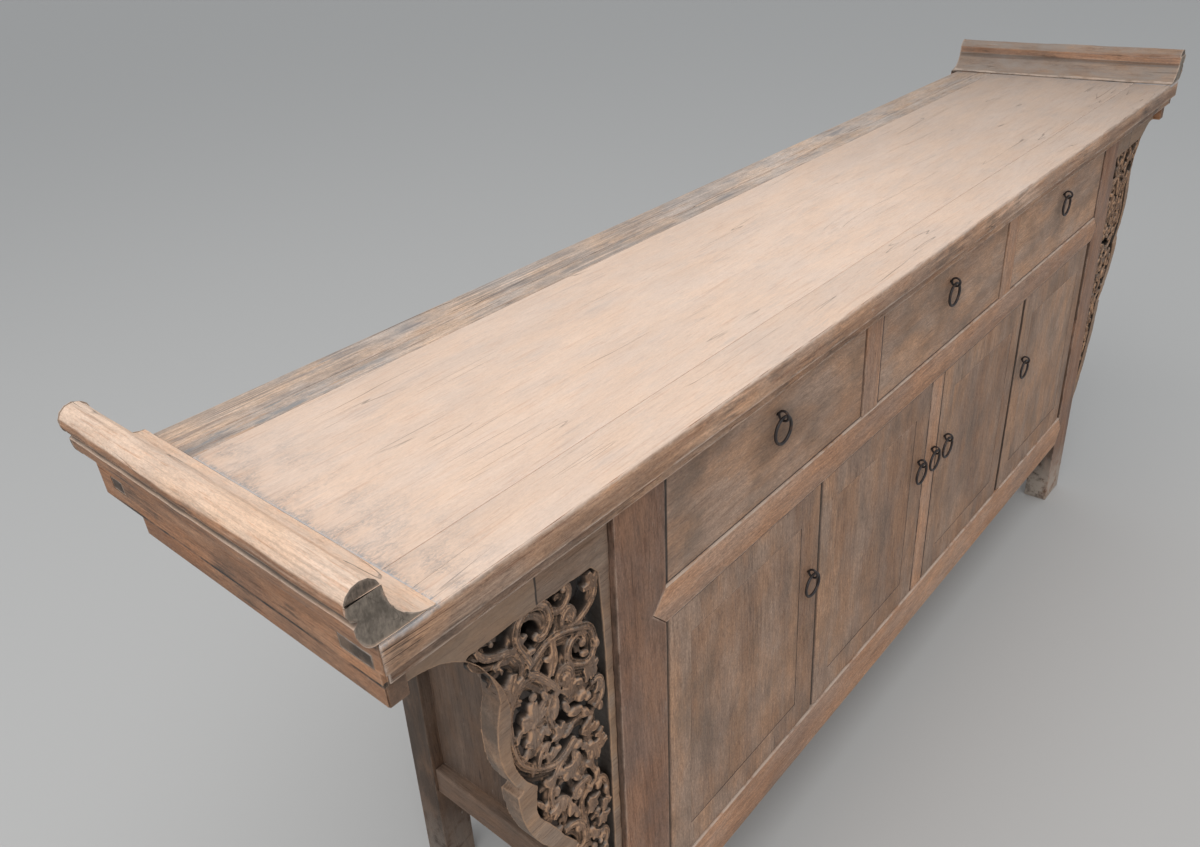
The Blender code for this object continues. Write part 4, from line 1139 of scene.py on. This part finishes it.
def make_field_cutter(side):
    """A solid through the spandrel with the outline of its pierced field."""
    curve = bpy.data.curves.new("field", "CURVE")
    curve.dimensions = "2D"
    curve.fill_mode = "BOTH"
    curve.extrude = CUTTER_REACH
    line = curve.splines.new("BEZIER")
    line.resolution_u = FIELD_STEPS
    line.use_cyclic_u = True
    line.bezier_points.add(len(FIELD) - 1)
    for knot, (out, drop) in zip(line.bezier_points, FIELD):
        knot.co = Vector((out, -drop, 0)) * MM
        knot.handle_left_type = "VECTOR" if (out, drop) in FIELD_CORNERS else "AUTO"
        knot.handle_right_type = knot.handle_left_type
    pick(link_new("field", curve))
    bpy.ops.object.convert(target="MESH")
    cutter = bpy.context.object
    edit(cutter)
    bpy.ops.mesh.remove_doubles(threshold=MERGE)
    leave_edit()
    stand_up(cutter, side)
    return cutter


def cut_away(piece, cutter):
    modify(piece, "BOOLEAN", operation="DIFFERENCE", object=cutter)
    remove(cutter)


def in_recess(face):
    """Tells whether a face looks to the front from well behind it."""
    return face.normal.y < -0.9 and face.center.y > CARVING_FRONT + 2 * MM


def fill_recess(board):
    """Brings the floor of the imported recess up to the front, so that only the drawn field is cut."""
    depth = max(face.center.y for face in board.data.polygons if in_recess(face)) - CARVING_FRONT
    select_where(board, "FACE", in_recess)
    bpy.ops.transform.translate(value=(0, -depth, 0))
    bpy.ops.mesh.select_all(action="SELECT")
    bpy.ops.mesh.remove_doubles(threshold=MERGE)
    bpy.ops.mesh.dissolve_limited(angle_limit=FLAT)
    leave_edit()


def points_along(mesh):
    """Points every few millimetres along the edges of a cutter, as places across and up."""
    points = []
    for edge in mesh.edges:
        first, last = (mesh.vertices[number].co for number in edge.vertices)
        steps = max(1, math.ceil((last - first).length / (0.5 * WALL_REACH)))
        points += [first.lerp(last, step / steps).xz for step in range(steps)]
    return points


def mark_walls(board, rim):
    """Marks the parts of a board that lie by the rim of its pierced field."""
    tree = KDTree(len(rim))
    for number, (x, z) in enumerate(rim):
        tree.insert((x, 0, z), number)
    tree.balance()
    by_rim = [float(tree.find((v.co.x, 0, v.co.z))[2] < WALL_REACH) for v in board.data.vertices]
    mark = board.data.attributes.new(FIELD_WALL, "FLOAT", "POINT")
    mark.data.foreach_set("value", by_rim)


def make_border(label, side):
    """The spandrel's board with its carved field cut through, softened and worn."""
    node = "spandrel_" + label
    board = copy_of(node, node + "_board")
    fill_recess(board)
    cutter = make_field_cutter(side)
    rim = points_along(cutter.data)
    cut_away(board, cutter)
    modify(board, "REMESH", mode="VOXEL", voxel_size=BORDER_FACET)
    push(board, DENTS, BORDER_DENT)
    push(board, SPECKS, BORDER_SPECK)
    mark_walls(board, rim)
    pick(board)
    bpy.ops.object.shade_smooth()
    return board


# Sides of the cabinet along X, and the seeds between those of the spandrels' woods
SIDES = {"left": -1, "right": 1}
BORDER_SEED = 71
VINE_SEED = 81


def make_spandrels():
    flat = make_vines()
    for label, side in SIDES.items():
        node = "spandrel_" + label
        board = make_border(label, side)
        wood = make_wood(node + "_board_wood", "carved", "X", BORDER_SEED + side, stain_and_shade_border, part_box(node))
        stand_for(board, node, wood)
        vines = link_new(node + "_vines", flat.data.copy())
        stand_up(vines, side)
        pick(vines)
        bpy.ops.object.shade_smooth()
        dress(vines, make_wood(node + "_vines_wood", "vine", "Z", VINE_SEED + side, stain_and_shade_carving))
        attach(vines, BODY_OF[node])
    remove(flat)


make_spandrels()

ALONE = ("",)
PAIR = ("_left", "_right")
THREE = ("_left", "_middle", "_right")

# Worn boards: start and ends of their names, directions of the length, pitch of the cuts in metres, then the
# width and depth of the wear in millimetres
WORN_BOARDS = (
    ("top_main_board", ALONE, "X", 0.02, 0.5, 0.3),
    ("top_strip", ALONE, "X", 0.02, 1.0, 0.7),
    ("top_rear_board", ALONE, "X", 0.012, 1.6, 1.0),
    ("top_end", PAIR, "Y", 0.008, 2.0, 2.0),
    ("end_apron", PAIR, "Y", 0.008, 2.2, 2.2),
    ("leg_front", PAIR, "Z", 0.01, 2.0, 1.6),
    ("leg_rear", PAIR, "Z", 0.01, 2.0, 1.6),
    ("drawer_rail", ALONE, "X", 0.01, 1.5, 1.2),
    ("bottom_rail", ALONE, "X", 0.01, 1.5, 1.2),
    ("side_rail", PAIR, "Y", 0.01, 1.5, 1.2),
    ("drawer_front", THREE, "XZ", 0.01, 1.6, 1.2),
    ("centre_stile", ALONE, "Z", 0.01, 1.2, 1.0),
)

# Depth from the front of the top's front rail in which its arrises are worn
WORN_FRONT = 12 * MM

for start, ends, axes, pitch, width, depth in WORN_BOARDS:
    for end in ends:
        weathered(start + end, axes, pitch, width * MM, depth * MM)
weathered("top_front_rail", "X", 0.009, 3.5 * MM, 2.6 * MM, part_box("top_front_rail")[0][1] + WORN_FRONT)
for leaf in ("outer_left", "inner_left", "inner_right", "outer_right"):
    weathered("door_frame_" + leaf, "XZ", 0.012, 0.6 * MM, 0.4 * MM)
    weathered("door_panel_" + leaf, "XZ", 0.012, 0.3 * MM, 0.1 * MM)


# Neck under the roll: its depth and half height, and how far out the sides lie that it is cut into
NECK_DEPTH = 5.5 * MM
NECK_HALF = 4 * MM
NECK_SIDE = 1.02

# Cut over the cap: its depth, and half its width and height
CAP_CUT = 3 * MM
CAP_HALF_WIDTH = 0.03
CAP_HALF_HEIGHT = 0.02


def cut_neck(piece, side):
    """Cuts a neck between the flange's roll and the bead under it, all along its outer side."""
    edit(piece)
    for off in (-NECK_HALF, 0, NECK_HALF):
        bpy.ops.mesh.select_all(action="SELECT")
        bpy.ops.mesh.bisect(plane_co=(0, 0, NECK + off), plane_no=(0, 0, 1))
    leave_edit()
    select_where(piece, "VERT",
                 lambda vertex: abs(vertex.co.z - NECK) < 0.5 * MM and vertex.co.x * side > NECK_SIDE)
    bpy.ops.transform.translate(value=(-side * NECK_DEPTH, 0, 0))
    leave_edit()


def cut_cap(piece, side):
    """Sets the end of the roll back behind the cap on the flange's front end."""
    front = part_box("flange_left")[0][1]
    bpy.ops.object.select_all(action="DESELECT")
    bpy.ops.mesh.primitive_cube_add(size=1.0, location=(side * NECK_SIDE, front, CAP_TOP + CAP_HALF_HEIGHT),
                                    scale=(2 * CAP_HALF_WIDTH, CAP_CUT, 2 * CAP_HALF_HEIGHT))
    cut_away(piece, bpy.context.object)


def make_flange(label, side):
    """An upturned end with its weathered roll."""
    node = "flange_" + label
    piece = copy_of(node, node + "_worn")
    cut_cap(piece, side)
    cut_neck(piece, side)
    slice_along(piece, "Y", 0.006, 1.0 * MM)
    edit(piece)
    bpy.ops.mesh.subdivide(number_cuts=2)
    leave_edit()
    along = guide((1.0, 34.0, 1.0))
    push(piece, SWELLS, 2.0 * MM)
    push(piece, GRAIN_RIDGES, 0.9 * MM, along=along)
    remove(along)
    hold_in(piece, node)
    pick(piece)
    bpy.ops.object.shade_smooth_by_angle(angle=SMOOTH)
    stand_for(piece, node, MATERIAL_OF[node])


for label, side in SIDES.items():
    make_flange(label, side)


def forge(node):
    """A hammered copy of an iron ring or staple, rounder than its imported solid."""
    piece = copy_of(node, node + "_forged")
    edit(piece)
    bpy.ops.mesh.subdivide(number_cuts=1, smoothness=1.0)
    leave_edit()
    push(piece, HAMMER, 0.35 * MM)
    pick(piece)
    bpy.ops.object.shade_smooth()
    stand_for(piece, node, IRON)


for node in NODES:
    if MATERIAL_OF[node] is IRON:
        forge(node)


# Stage, light and camera

PALE_FLOOR = (0.52, 0.51, 0.495)
SKY = (0.92, 0.96, 1.0)


def make_floor():
    bpy.ops.object.select_all(action="DESELECT")
    bpy.ops.mesh.primitive_plane_add(size=60.0, location=(0.0, 0.0, -0.0005))
    floor = bpy.context.object
    floor.name = "floor"
    material, _, shader = new_material("pale_floor")
    feed(shader.inputs["Base Color"], PALE_FLOOR)
    feed(shader.inputs["Roughness"], 0.9)
    dress(floor, material)


def make_lamp(name, place, aim, size, power):
    bpy.ops.object.light_add(type="AREA", location=place)
    lamp = bpy.context.object
    lamp.name = name
    lamp.data.size = size
    lamp.data.energy = power
    lamp.rotation_euler = (Vector(aim) - Vector(place)).to_track_quat("-Z", "Y").to_euler()


def make_light():
    world = bpy.data.worlds.new("soft_sky")
    bpy.context.scene.world = world
    world.use_nodes = True
    sky = world.node_tree.nodes["Background"]
    feed(sky.inputs["Color"], SKY)
    feed(sky.inputs["Strength"], 0.62)
    make_lamp("overhead", (-2.0, -0.8, 4.2), (0.0, 0.0, 0.6), 4.5, 118.0)


# Camera fitted to the photo: its place and two of its directions, and its focal length in pixels of the photo
CAMERA_PLACE = (-1.2794, -0.7023, 1.3232)
CAMERA_RIGHT = (0.65269, -0.75428, -0.07108)
CAMERA_DOWN = (-0.41877, -0.28099, -0.86352)
FOCAL_PIXELS = 969.3
IMAGE_WIDTH = 1200
SENSOR = 36.0


def make_camera():
    right = Vector(CAMERA_RIGHT).normalized()
    up = -Vector(CAMERA_DOWN)
    up = (up - right * up.dot(right)).normalized()
    back = right.cross(up)
    data = bpy.data.cameras.new("camera")
    data.sensor_width = SENSOR
    data.lens = FOCAL_PIXELS / IMAGE_WIDTH * SENSOR
    camera = link_new("camera", data)
    turn = Matrix((right, up, back)).transposed().to_4x4()
    camera.matrix_world = Matrix.Translation(CAMERA_PLACE) @ turn
    bpy.context.scene.camera = camera


make_floor()
make_light()
make_camera()
bpy.context.scene.view_settings.view_transform = "Standard"
